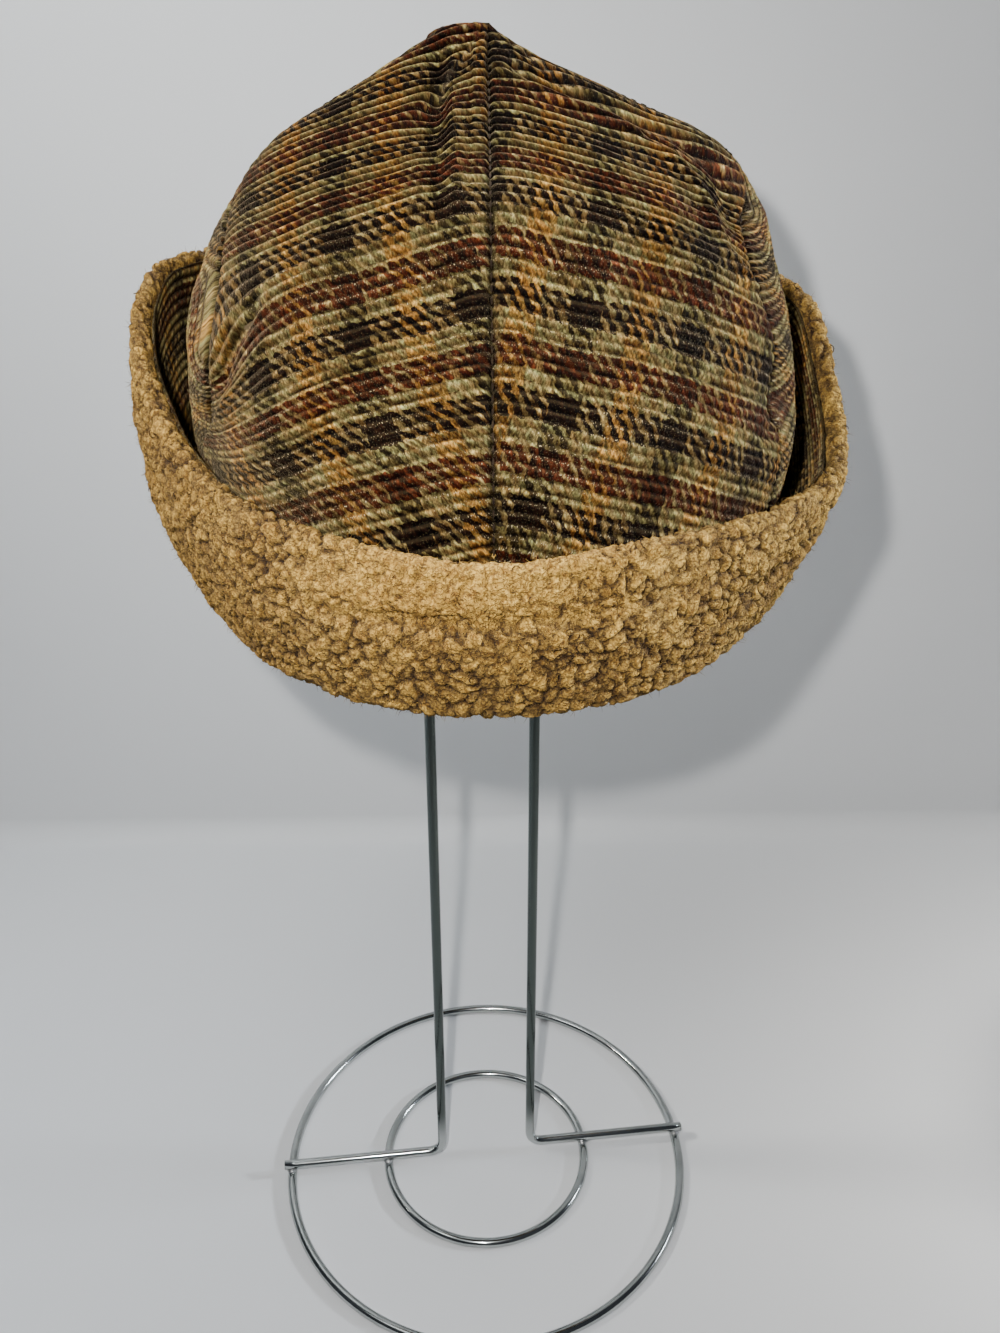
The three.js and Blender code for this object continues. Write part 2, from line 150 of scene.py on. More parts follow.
# The turned-up cuff: azimuth, height of the rim, and outer radius at the rim, middle and fold.
CUFF_SECTIONS = np.array([
    (0, 338.0, 107.5, 110.5, 109.0), (20, 340.5, 106.0, 109.0, 107.0),
    (40, 339.0, 104.0, 105.5, 102.5), (57, 337.5, 104.5, 103.5, 99.0),
    (72, 339.5, 108.5, 105.0, 97.5), (84, 348.0, 108.5, 106.0, 96.5),
    (94, 362.5, 107.5, 106.5, 96.5), (104, 375.5, 108.0, 107.0, 97.5),
    (120, 380.5, 109.0, 107.5, 101.0), (150, 376.0, 109.5, 109.5, 105.0),
    (180, 371.0, 110.5, 111.0, 107.5), (210, 376.0, 109.5, 109.5, 104.5),
    (240, 387.0, 109.0, 107.0, 100.0), (255, 386.5, 108.0, 106.5, 96.5),
    (267, 380.0, 106.5, 106.5, 95.5), (280, 368.0, 104.0, 105.0, 95.0),
    (292, 357.0, 101.0, 102.5, 95.5), (305, 349.5, 100.5, 101.5, 97.0),
    (320, 344.5, 102.5, 104.5, 101.0), (340, 341.0, 105.5, 108.5, 106.0),
], float)

# Creases of the cuff: azimuth, height, width in degrees, height, climb in mm for each degree, depth.
CUFF_CREASES = (
    (58, 322, 22, 3.6, 0.22, 3.2),
    (-6, 324.5, 17, 2.2, 0.0, 1.9),
    (50, 299.0, 24, 20.0, 0.0, 4.2),
    (-52, 299.0, 20, 17.0, 0.0, 3.0),
    (20, 327, 14, 2.4, 0.10, 1.2),
    (62, 312, 14, 2.6, 0.45, 1.4),
    (-72, 336, 12, 4.0, -0.30, 1.8),
)

# The four crown panels: name, azimuth of the centre seam, side seam, azimuth of the seam the plaid is
# laid from, and which way round from that seam the panel runs. Then where the plaid starts, as mm down
# the seam to the first dark row and mm along the ribs to the first dark column, and how far the seam's
# allowance lifts the cloth, in mm.
CROWN_PANELS = (
    ("crown_panel_front_right", 0.0, "right", 0.0, 1, 9.0, 28.5, 0.0),
    ("crown_panel_back_right", 180.0, "right", 180.0, -1, 11.0, 14.0, 0.0),
    ("crown_panel_back_left", 180.0, "left", 180.0, 1, 8.0, 19.0, 0.0),
    ("crown_panel_front_left", 360.0, "left", 0.0, -1, 11.9, 10.9, 0.55),
)

# Where a dark column of the plaid lies, as the distance down the seam grows: the cloth's straight
# columns run in towards the seam, because the panel's edge is cut on a slant.
PLAID_LEAN = ((0, 32, 62, 89, 114, 139, 200), (3.6, 2.6, 0.0, -5.4, -11.2, -19.2, -38.0))

# The ribs lie in slanting planes: how far these fall for each mm away from the centre seam to the side
# and towards it, and how wide the arch is in which they turn over the seam, in mm.
RIB_FALL_SIDEWAYS = 0.30
RIB_FALL_ALONG = 0.25
RIB_ARCH = 9.0

# The stand's rings and their radii, and how far its frame is turned round the axis.
RING_RADII = (("base_ring_outer", 88.0), ("base_ring_inner", 44.7))
STAND_TURN = math.radians(5.5)

# One side of the stand's frame in four runs, the foot, its bend, the upright and the shoulder: steps,
# and control points as (sideways, up). The hoop's arch goes on from the last one.
STAND_RUNS = (
    (14, (91.0, 6.3), (27.0, 6.3)),
    (9, (27.0, 6.3), (20.0, 6.3), (20.0, 13.3)),
    (40, (20.0, 13.3), (18.7, 288.0)),
    (24, (18.7, 288.0), (18.4, 325.0), (74.0, 322.0), (74.0, 356.0)),
)
HOOP_RISE = 83.0

# The beads of weld: radius, half their thickness, and height of their middle.
WELD_RADIUS = 2.7
WELD_RISE = 1.25
WELD_Z = 4.1

# The backdrop: how far back the floor starts to bend up, the bend's radius, and half the floor's width,
# in metres.
BEND_START = 0.232
BEND_RADIUS = 0.015
FLOOR_REACH = 2.2

# The lamps: name, place, what it points at, size, spread in degrees, power in watts, and colour.
LAMPS = (
    ("front lamp", (-0.032, -0.3255, 0.466), (0.0, 0.0, 0.34), 0.010, 180, 2.15, (1.0, 0.985, 0.96)),
    ("wall light", (-0.40, 0.00, 0.96), (-0.24, 0.247, 0.62), 0.4, 64, 1.1, (0.96, 1.0, 1.0)),
    ("ceiling light", (-0.30, -0.40, 1.30), (0.0, -0.1, 0.0), 0.9, 180, 1.95, (0.97, 0.985, 1.0)),
    ("right light", (1.3, 0.08, 0.80), (0.0, 0.0, 0.38), 0.4, 22, 2.6, (0.84, 0.91, 1.0)),
    ("left light", (-1.05, 0.05, 1.25), (-0.06, 0.0, 0.46), 0.3, 16, 1.15, (1.0, 0.98, 0.94)),
    ("back light", (0.1, 1.3, 1.1), (0.0, 0.0, 0.36), 0.8, 30, 3.5, (0.98, 0.99, 1.0)),
)


def monotone(xs, ys, x):
    """Smooth curve through (xs, ys) that doesn't overshoot. ys may have several columns."""
    xs, ys = np.asarray(xs, float), np.asarray(ys, float)
    x = np.clip(np.asarray(x, float), xs[0], xs[-1])
    i = np.clip(np.searchsorted(xs, x, side="right") - 1, 0, len(xs) - 2)
    column = (slice(None),) + (None,) * (ys.ndim - 1)
    span = np.diff(xs)
    secant = np.diff(ys, axis=0) / span[column]
    slope = np.empty_like(ys)
    slope[0], slope[-1] = secant[0], secant[-1]
    before, after = secant[:-1], secant[1:]
    w1 = (span[1:] + 2 * span[:-1])[column]
    w2 = (2 * span[1:] + span[:-1])[column]
    same = before * after > 0
    with np.errstate(divide="ignore", invalid="ignore"):
        slope[1:-1] = np.where(same, (w1 + w2) / (w2 / before + w1 / after), 0)
    t = (x - xs[i]) / span[i]
    lift = (Ellipsis,) + (None,) * (ys.ndim - 1)
    t, width = t[lift], span[i][lift]
    return ((2 * t ** 3 - 3 * t ** 2 + 1) * ys[i] + (t ** 3 - 2 * t ** 2 + t) * width * slope[i]
            + (3 * t ** 2 - 2 * t ** 3) * ys[i + 1] + (t ** 3 - t ** 2) * width * slope[i + 1])


def round_axis(values, azimuth):
    """Closed smooth curve through values spaced evenly round the axis, in their last column."""
    count = values.shape[-1]
    place = (azimuth / 360) % 1 * count
    i = np.floor(place).astype(int)
    t = place - i
    a, b, c, d = (np.take_along_axis(values, ((i + step) % count)[..., None], -1)[..., 0]
                  for step in (-1, 0, 1, 2))
    return 0.5 * (2 * b + (c - a) * t + (2 * a - 5 * b + 4 * c - d) * t * t
                  + (3 * b - a - 3 * c + d) * t ** 3)


def signed_turn(degrees):
    return (degrees + 180) % 360 - 180


def crown_radius(azimuth, z):
    azimuth, z = np.broadcast_arrays(np.asarray(azimuth, float), np.asarray(z, float))
    radius = round_axis(monotone(CROWN_SECTIONS[:, 0], CROWN_SECTIONS[:, 1:], z), azimuth)
    for at, height, across, tall, lean, lift in CROWN_FOLDS:
        up = z - height
        off = signed_turn(azimuth - at - lean * up) / across
        radius = radius + lift * np.exp(-off * off - (up / tall) ** 2)
    return radius


CUFF_ROWS = np.vstack([CUFF_SECTIONS[-3:] - (360, 0, 0, 0, 0), CUFF_SECTIONS,
                       CUFF_SECTIONS[:3] + (360, 0, 0, 0, 0)])


def cuff_point(azimuth, share):
    """Radius and height of the fleece's outer face, from the fold (share 0) to the rim (share 1)."""
    azimuth, share = np.broadcast_arrays(np.asarray(azimuth, float), np.asarray(share, float))
    rim_z, rim, middle, fold = np.moveaxis(
        monotone(CUFF_ROWS[:, 0], CUFF_ROWS[:, 1:], azimuth % 360), -1, 0)
    z = CUFF_BASE_Z + (rim_z - FLEECE_THICKNESS / 2 - CUFF_BASE_Z) * share
    wanted = (fold * (1 - share) * (1 - 2 * share) + middle * 4 * share * (1 - share)
              + rim * share * (2 * share - 1))
    closest = crown_radius(azimuth, z) + FLEECE_THICKNESS + CORDUROY_THICKNESS + CUFF_CLEARANCE
    return np.maximum(wanted, closest), z


def crease_depth(azimuth, z):
    depth = np.zeros(np.broadcast(azimuth, z).shape)
    for at, height, across, tall, climb, deep in CUFF_CREASES:
        along = signed_turn(azimuth - at)
        off = (z - height - climb * along) / tall
        depth += deep * np.exp(-off * off - (along / across) ** 2)
    return depth


def stand_axis():
    low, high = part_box("base_ring_outer")
    return (low.x + high.x) / 2, (low.y + high.y) / 2


def around_axis(azimuth, radius, z):
    """Points in metres, in the frame, from millimetres about the cap's axis."""
    turn = np.radians(azimuth)
    x = CAP_AXIS[0] + radius * np.sin(turn)
    y = CAP_AXIS[1] - radius * np.cos(turn)
    axis_x, axis_y = stand_axis()
    return join(x * MM + axis_x, y * MM + axis_y, np.asarray(z, float) * MM)


def join(*coordinates):
    """Points from their separate coordinates, each spread out to the shape of them all."""
    return np.stack(np.broadcast_arrays(*coordinates), -1)


# ---- Meshes from grids of points

def grid_faces(rows, columns, wrap=False, loop=False, start=0, flip=False):
    """Quads of a grid of vertices numbered row by row. wrap joins its columns round, and loop its rows."""
    r, c = np.meshgrid(np.arange(rows if loop else rows - 1), np.arange(columns if wrap else columns - 1),
                       indexing="ij")
    row, below, right = r * columns, (r + 1) % rows * columns, (c + 1) % columns
    quads = np.stack([row + c, row + right, below + right, below + c], -1).reshape(-1, 4) + start
    return quads[:, ::-1] if flip else quads


def zip_edges(first, second):
    """Triangles between two runs of vertices with different counts, paired by how far along they are."""
    i = j = 0
    triangles = []
    while i < len(first) - 1 or j < len(second) - 1:
        ahead_first = (i + 1) / max(len(first) - 1, 1)
        ahead_second = (j + 1) / max(len(second) - 1, 1)
        if j >= len(second) - 1 or (i < len(first) - 1 and ahead_first <= ahead_second):
            triangles.append((first[i], first[i + 1], second[j], second[j]))
            i += 1
        else:
            triangles.append((first[i], second[j + 1], second[j], second[j]))
            j += 1
    return np.array(triangles)


def tidy_faces(faces, points):
    """Faces as lists of corners with repeated places dropped, and which of them are left."""
    _, first, back = np.unique(np.round(points, 8), axis=0, return_index=True, return_inverse=True)
    same = first[back.reshape(-1)]
    faces = same[faces]
    kept, which = [], []
    for number, face in enumerate(faces.tolist()):
        corners = [v for k, v in enumerate(face) if v != face[k - 1]]
        if len(corners) >= 3 and len(set(corners)) == len(corners):
            kept.append(corners)
            which.append(number)
    return kept, np.array(which)


def mesh_piece(name, points, faces, materials, uv=None, values=None, face_material=None):
    """A mesh object at the origin. uv is a pair for each vertex, values a dict of vertex attributes."""
    faces, which = tidy_faces(faces, points)
    used = np.unique([v for face in faces for v in face])
    number = np.full(len(points), -1)
    number[used] = np.arange(len(used))
    mesh = bpy.data.meshes.new(name)
    sizes = np.array([len(face) for face in faces])
    corners = number[np.concatenate([np.array(face) for face in faces])]
    mesh.vertices.add(len(used))
    mesh.vertices.foreach_set("co", points[used].astype(np.float32).ravel())
    mesh.loops.add(len(corners))
    mesh.loops.foreach_set("vertex_index", corners.astype(np.int32))
    mesh.polygons.add(len(sizes))
    mesh.polygons.foreach_set("loop_start", np.concatenate([[0], np.cumsum(sizes)[:-1]]).astype(np.int32))
    mesh.polygons.foreach_set("loop_total", sizes.astype(np.int32))
    mesh.update(calc_edges=True)
    if uv is not None:
        layer = mesh.uv_layers.new(name="cloth")
        layer.data.foreach_set("uv", uv[used][corners].astype(np.float32).ravel())
    for key, value in (values or {}).items():
        attribute = mesh.attributes.new(key, "FLOAT", "POINT")
        attribute.data.foreach_set("value", value[used].astype(np.float32))
    for material in materials:
        mesh.materials.append(material)
    if face_material is not None:
        mesh.polygons.foreach_set("material_index", face_material[which].astype(np.int32))
    mesh.polygons.foreach_set("use_smooth", np.ones(len(sizes), bool))
    mesh.validate()
    mesh.update()
    return add_object(name, mesh)


def add_object(name, data):
    piece = bpy.data.objects.new(name, data)
    bpy.context.scene.collection.objects.link(piece)
    return piece


def settle(piece, slot, *nodes):
    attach(piece, "root")
    if nodes:
        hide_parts(*nodes)
    return piece


def lattice(a, b, seed):
    """A repeatable random number from 0 to 1 for each pair of whole numbers."""
    n = (a.astype(np.int64) * 73856093) ^ (b.astype(np.int64) * 19349663) ^ (seed * 83492791)
    n = (n ^ (n >> 13)) * 1274126177
    return ((n ^ (n >> 16)) & 0xFFFFF) / 0xFFFFF


def soft_noise(x, y, seed, period=None):
    """Smooth noise from -1 to 1. period joins x up after that many cells."""
    i, j = np.floor(x), np.floor(y)
    fx, fy = x - i, y - j
    fx, fy = fx * fx * (3 - 2 * fx), fy * fy * (3 - 2 * fy)

    def corner(di, dj):
        a = i + di
        return lattice(a % period if period else a, j + dj, seed)

    low = corner(0, 0) * (1 - fx) + corner(1, 0) * fx
    high = corner(0, 1) * (1 - fx) + corner(1, 1) * fx
    return 2 * (low * (1 - fy) + high * fy) - 1


def waves(x, y, *table):
    """A sum of smooth noises, each given as its height, its cell's length and width, and a seed."""
    return sum(height * soft_noise(x / long, y / wide, seed) for height, long, wide, seed in table)


# ---- Node trees

class Value:
    """What a node gives out. Arithmetic with it adds Math nodes, and an index picks another output."""

    def __init__(self, nodes, socket):
        self.nodes = nodes
        self.socket = socket

    def __getitem__(self, output):
        return Value(self.nodes, self.socket.node.outputs[output])

    def __add__(self, other):
        return self.nodes.math("ADD", self, other)

    def __sub__(self, other):
        return self.nodes.math("SUBTRACT", self, other)

    def __rsub__(self, other):
        return self.nodes.math("SUBTRACT", other, self)

    def __mul__(self, other):
        return self.nodes.math("MULTIPLY", self, other)


class Nodes:
    """Short ways to add nodes to a tree. They take numbers, colours or Values, and return a Value."""

    def put(self, socket, value):
        if isinstance(value, Value):
            self.tree.links.new(value.socket, socket)
        else:
            socket.default_value = (*value, 1) if socket.type == "RGBA" else value

    def add(self, kind, inputs=(), output=0, **choices):
        node = self.tree.nodes.new(kind)
        for name, choice in choices.items():
            setattr(node, name, choice)
        for key, value in dict(inputs).items():
            self.put(node.inputs[key], value)
        return Value(self, node.outputs[output])

    def math(self, operation, *values):
        return self.add("ShaderNodeMath", enumerate(values), operation=operation)

    def vector(self, *parts):
        return self.add("ShaderNodeCombineXYZ", enumerate(parts))


class MaterialNodes(Nodes):
    """The nodes of a material with one Principled shader."""

    def __init__(self, name):
        self.material = bpy.data.materials.new(name)
        self.material.use_nodes = True
        self.tree = self.material.node_tree
        self.tree.nodes.clear()
        self.shader = self.tree.nodes.new("ShaderNodeBsdfPrincipled")
        self.output = self.tree.nodes.new("ShaderNodeOutputMaterial")
        self.tree.links.new(self.shader.outputs[0], self.output.inputs[0])

    def mix(self, share, a, b, blend="MIX"):
        return self.add("ShaderNodeMix", {0: share, 6: a, 7: b}, 2, data_type="RGBA", blend_type=blend)

    def ramp(self, value, stops, interpolation="LINEAR"):
        ramp = self.add("ShaderNodeValToRGB", {0: value})
        band = ramp.socket.node.color_ramp
        band.interpolation = interpolation
        while len(band.elements) < len(stops):
            band.elements.new(0.5)
        for element, (place, colour) in zip(band.elements, stops):
            element.position = place
            element.color = (*colour, 1)
        return ramp

    def shade(self, colour, value, *stops, share=1.0):
        """Multiply a colour by a ramp along a value."""
        return self.mix(share, colour, self.ramp(value, stops), "MULTIPLY")

    def smooth(self, value, low, high):
        return self.add("ShaderNodeMapRange", enumerate((value, low, high)), interpolation_type="SMOOTHSTEP")

    def place(self):
        return self.add("ShaderNodeTexCoord", output="Object")

    def attribute(self, name):
        return self.add("ShaderNodeAttribute", output="Fac", attribute_name=name)

    def noise(self, vector, scale, detail=2.0, roughness=0.5):
        return self.add("ShaderNodeTexNoise", {"Vector": vector, "Scale": scale, "Detail": detail,
                                               "Roughness": roughness}, "Fac")

    def finish(self, colour, roughness, bump=None, **constants):
        """Set the shader's inputs. bump is a height, its strength and its depth in metres."""
        self.put(self.shader.inputs["Base Color"], colour)
        self.put(self.shader.inputs["Roughness"], roughness)
        if bump:
            normal = self.add("ShaderNodeBump", zip(("Height", "Strength", "Distance"), bump))
            self.put(self.shader.inputs["Normal"], normal)
        for name, value in constants.items():
            self.put(self.shader.inputs[name.replace("_", " ").title().replace("Ior", "IOR")], value)
        return self.material


class ShapeNodes(Nodes):
    """A Geometry Nodes tree that makes one piece. inputs are pairs of a name and a kind."""

    def __init__(self, name, *inputs):
        self.tree = bpy.data.node_groups.new(name, "GeometryNodeTree")
        for label, kind in (("Geometry", "Geometry"), *inputs):
            self.tree.interface.new_socket(label, in_out="INPUT", socket_type="NodeSocket" + kind)
        self.tree.interface.new_socket("Geometry", in_out="OUTPUT", socket_type="NodeSocketGeometry")
        self.given = self.add("NodeGroupInput")

    def spread(self, low, high, seed):
        """A random number for each place, from low to high."""
        return self.add("FunctionNodeRandomValue", {2: low, 3: high, "Seed": seed}, 1, data_type="FLOAT")

    def finish(self, instances, material):
        """End the tree as one mesh with one material."""
        real = self.add("GeometryNodeRealizeInstances", {"Geometry": instances})
        done = self.add("GeometryNodeSetMaterial", {"Geometry": real, "Material": material})
        self.put(self.tree.nodes.new("NodeGroupOutput").inputs[0], done)

    def grow(self, name, source, sizes):
        """Run the tree on a source object, and keep what it makes as a plain mesh."""
        modifier = source.modifiers.new(self.tree.name, "NODES")
        modifier.node_group = self.tree
        for item in self.tree.interface.items_tree:
            if item.in_out == "INPUT" and item.name in sizes:
                modifier[item.identifier] = sizes[item.name]
        bpy.context.view_layer.update()
        evaluated = source.evaluated_get(bpy.context.evaluated_depsgraph_get())
        mesh = bpy.data.meshes.new_from_object(evaluated)
        source.modifiers.remove(modifier)
        bpy.data.objects.remove(source)
        mesh.name = name
        return add_object(name, mesh)


# ---- Materials

RIBS_IN_REPEAT = 9

# The plaid's columns: where each begins, as a share of the repeat, and its thread.
PLAID_COLUMNS = ((0.0, "gold"), (0.12, "cream"), (0.372, "dark_brown"), (0.628, "cream"), (0.88, "gold"))

# The plaid's rows: the rib where each begins, its thread, and how much of it the columns cover.
PLAID_ROWS = ((0.0, "dark_brown", 0.46), (2.35, "sage", 0.52), (4.45, "rust", 0.35), (6.9, "sage", 0.52),
              (8.65, "dark_brown", 0.46))

# Painted shade and highlight across a rib, from one groove to the next: share of the way, and light.
RIB_PAINTED_LIGHT = ((0.0, 0.08), (0.12, 0.32), (0.25, 1.62), (0.36, 1.92), (0.50, 1.08), (0.70, 0.56), (0.88, 0.20),
             (1.0, 0.08))


def grey(value):
    return (value, value, value)


def shaded(value):
    """A factor that darkens cloth and turns it redder on the way down, for random darker tone and for painted
    shade.
    """
    return (value, value ** 1.29, value ** 1.50)


def plaid_corduroy(settings):
    """Ribbed cloth. The cloth map's x counts plaid repeats along the ribs and its y counts ribs."""
    g = MaterialNodes("plaid corduroy")
    across, ribs, _ = g.add("ShaderNodeSeparateXYZ", {0: g.add("ShaderNodeUVMap", uv_map="cloth")})
    rib_place = g.math("FRACT", ribs)
    each_rib = g.math("FLOOR", ribs) * 3.7

    def noise(along, down, scale=1.0, detail=2.0, roughness=0.5):
        """Noise with its own closeness along the ribs and down them. down is a number or a Value."""
        down = down if isinstance(down, Value) else ribs * down
        return g.noise(g.vector(across * along, down), scale, detail, roughness)

    column_place = g.math("FRACT", across + (noise(5.0, each_rib) - 0.5) * 0.09 + 0.5)
    row_place = g.math("FRACT", g.math("DIVIDE", ribs + (noise(14.0, 0.4) - 0.5) * 0.9, RIBS_IN_REPEAT))

    def columns(colour):
        return g.ramp(column_place, [(at, colour(name)) for at, name in PLAID_COLUMNS], "CONSTANT")

    def rows(colour):
        stops = [(at / RIBS_IN_REPEAT, colour(name, cover)) for at, name, cover in PLAID_ROWS]
        return g.ramp(row_place, stops, "CONSTANT")

    # The columns' threads show as beads along each rib. The beads slant, and run on from rib to rib.
    gold_on_sage = (rows(lambda name, _: grey(float(name == "sage")))
                    * columns(lambda name: grey(float(name == "gold"))))
    cover = rows(lambda _, cover: grey(cover)) + gold_on_sage * 0.30 + (noise(3.1, 0.6, 1.3) - 0.5) * 0.45
    beads = across * (settings.repeat_across / settings.bead_length) + ribs * -settings.bead_step
    wave = g.math("SINE", (beads + noise(7.0, 0.9) * 1.3) * math.tau)
    over = wave - g.math("COSINE", cover * math.pi) + (noise(46.0, 2.6) - 0.5) * 2.4
    colour = g.mix(g.smooth(over, -0.45, 0.45) * 0.88, rows(lambda name, _: getattr(settings, name)),
                   columns(lambda name: getattr(settings, name)))

    # Uneven dye, warm and cool patches, and each rib's and each bead's own shade.
    slant = across + ribs * (-settings.bead_step * settings.bead_length / settings.repeat_across)
    bead_shade = g.noise(g.vector(slant * 21.0, ribs * 0.8), 1.0)
    for value, *stops in (
            (noise(1.6, 0.35, 1.0, 3.0), (0.3, shaded(0.74)), (0.7, grey(1.25))),
            (noise(3.3, 0.8, 1.4), (0.36, (0.90, 1.02, 1.00)), (0.64, (1.10, 0.99, 0.84))),
            (noise(1.9, each_rib, 1.2, 1.0), (0.34, shaded(0.72)), (0.66, grey(1.30))),
            (bead_shade, (0.34, shaded(0.40)), (0.50, shaded(0.92)), (0.66, grey(1.75)))):
        colour = g.shade(colour, value, *stops)

    # The pile's short fibres. Then painted light across each rib: a thin painted highlight near its top edge and
    # painted shade in the groove between two ribs, less so where the pile is loose and ruffled, away from the
    # cap's point.
    loose = g.smooth(ribs, 6.0, 26.0)
    fibre = noise(46.0, each_rib + rib_place * 1.6, 1.0, 4.0, 0.68)
    colour = g.shade(colour, fibre, (0.34, shaded(0.22)), (0.50, shaded(0.86)), (0.66, grey(2.1)),
                     share=loose * 0.3 + 0.7)
    ruffled = loose * g.smooth(noise(2.3, 0.33, 1.6), 0.32, 0.58)
    light = [(at, shaded(light) if light < 1 else grey(light)) for at, light in RIB_PAINTED_LIGHT]
    colour = g.shade(colour, rib_place, *light, share=ruffled * -0.70 + 1.0)
    # Painted shade darkens the cloth in the seams' trenches.
    colour = g.mix(1.0, colour, g.attribute("seam") * -0.78 + 1.0, "MULTIPLY")

    # Pale lint lies over everything, with a faint painted highlight along each rib's crest, and painted glints,
    # bright specks on the crests for the light on shiny thread ends, stand out in patches.
    lit_crest = 1.0 - g.smooth(g.math("ABSOLUTE", rib_place - 0.30), 0.06, 0.24)
    lint = g.smooth(noise(37.0, 3.3, 1.7, 3.0, 0.7), 0.59, 0.70)
    colour = g.mix(lint * 0.42 + lit_crest * 0.05, colour, settings.lint)
    patches = g.smooth(noise(1.0, 0.12, 1.3, 1.0), 0.36, 0.58) * (loose * 0.8 + 0.2)
    painted_glints = g.smooth(noise(90.0, 5.0, 1.0, 0.0), 0.66, 0.75) * ((lit_crest * 0.9 + 0.1) * patches)
    colour = g.mix(painted_glints, colour, settings.painted_glint)

    height = fibre * 1.3 + (wave + 1.0) * 0.28
    return g.finish(colour, fibre * 0.25 + 0.66, (height, 0.9, 0.0005), specular_ior_level=0.02,
                    sheen_weight=0.16, sheen_roughness=0.10, sheen_tint=(1.0, 0.78, 0.46))


def cloth_back(settings):
    """The plain woven back of the corduroy, seen inside the crown."""
    g = MaterialNodes("corduroy back")
    place = g.place()
    weave = g.add("ShaderNodeTexVoronoi", {"Vector": place, "Scale": 1500.0}, "Distance")
    dark = [part * 0.75 for part in settings.ground]
    colour = g.ramp(g.noise(place, 90.0, 3.0), ((0.3, dark), (0.7, settings.ground)))
    colour = g.shade(colour, weave, (0.1, grey(1.0)), (0.6, grey(0.5)), share=0.5)
    return g.finish(colour, 0.9, (weave, 0.5, 0.0002), sheen_weight=0.03, specular_ior_level=0.05)


def sherpa(settings):
    """Woolly fleece. The knot attribute is 0 in the crevices between curls and 1 on their tops, and carries
    painted shade in the crevices and a painted highlight on the tops.
    """
    g = MaterialNodes("sherpa fleece")
    place = g.place()
    fibres = g.noise(place, 1500.0, 4.0, 0.7)
    strands = g.math("ABSOLUTE", g.noise(place, 620.0, 2.0, 0.6) - 0.5)
    swirl = g.noise(place, 520.0, 3.0, 0.65)
    # Painted shade in the crevices and on the curls' sides, and a painted highlight on their tops.
    colour = g.ramp((fibres - 0.5) * 0.55 + g.attribute("knot"), (
        (0.10, settings.crevice_shade), (0.30, settings.wool_shadow), (0.58, settings.wool),
        (0.98, settings.lit_wool_tip)))
    for value, *stops in (
            (g.noise(place, 45.0, 3.0), (0.3, shaded(0.78)), (0.7, grey(1.16))),
            (fibres, (0.34, shaded(0.58)), (0.66, grey(1.42))),
            (swirl, (0.36, shaded(0.66)), (0.50, grey(1.0)), (0.66, grey(1.22))),
            (strands, (0.0, shaded(0.55)), (0.030, shaded(0.94)), (0.09, grey(1.08)))):
        colour = g.shade(colour, value, *stops)
    height = g.smooth(strands, 0.0, 0.07) * 0.8 + (swirl + fibres)
    return g.finish(colour, 0.95, (height, 0.9, 0.0006), sheen_weight=0.03, sheen_roughness=0.6,
                    specular_ior_level=0.04)


def chrome_wire():
    """Chrome, lightly smudged. Above the base its colour is painted darker, a painted reflection of a dark room in
    place of the floor.
    """
    g = MaterialNodes("chrome wire")
    place = g.place()
    smudge = g.noise(place, 60.0, 4.0, 0.6)
    colour = g.ramp(smudge, ((0.3, (0.36, 0.38, 0.37)), (0.7, (0.52, 0.54, 0.53))))
    _, _, z = g.add("ShaderNodeSeparateXYZ", {0: place})
    # Painted reflection: the wire turns darker above the base.
    colour = g.mix(g.smooth(z, 0.010, 0.034), colour, (0.075, 0.088, 0.082))
    return g.finish(colour, smudge * 0.14 + 0.06, (g.noise(place, 900.0), 0.12, 0.0001), metallic=1.0)


def mottled(name, scale, detail, dark, light, roughness, bump=None, **constants):
    """A material with one noise, which mixes its two colours. bump is a strength and a depth."""
    g = MaterialNodes(name)
    spots = g.noise(g.place(), scale, *detail)
    g.finish(g.ramp(spots, ((0.3, dark), (0.7, light))), roughness, bump and (spots, *bump), **constants)
    return g


def weld_metal():
    return mottled("weld metal", 700.0, (3.0, 0.6), grey(0.34), grey(0.56), 0.32, (0.5, 0.0003),
                   metallic=1.0).material


def seam_thread():
    return mottled("seam thread", 1400.0, (), (0.010, 0.006, 0.004), (0.030, 0.019, 0.010), 0.8,
                   (0.4, 0.0002), specular_ior_level=0.1).material


def pale_surface():
    """Pale matt paint. Its back face is clear, so the wall hides nothing from behind."""
    g = mottled("pale floor", 3.0, (4.0,), (0.72, 0.73, 0.74), (0.76, 0.77, 0.78), 0.62,
                specular_ior_level=0.3)
    back = g.add("ShaderNodeNewGeometry", output="Backfacing")
    clear = g.add("ShaderNodeBsdfTransparent")
    g.put(g.output.inputs[0], g.add("ShaderNodeMixShader", {0: back, 1: Value(g, g.shader.outputs[0]),
                                                            2: clear}))
    return g.material


# ---- Settings

def colour_setting(name, description, default):
    return FloatVectorProperty(name=name, description=description, default=default, subtype="COLOR")


def mm_setting(name, description, default):
    return FloatProperty(name=name, description=description + ", in mm", default=default)


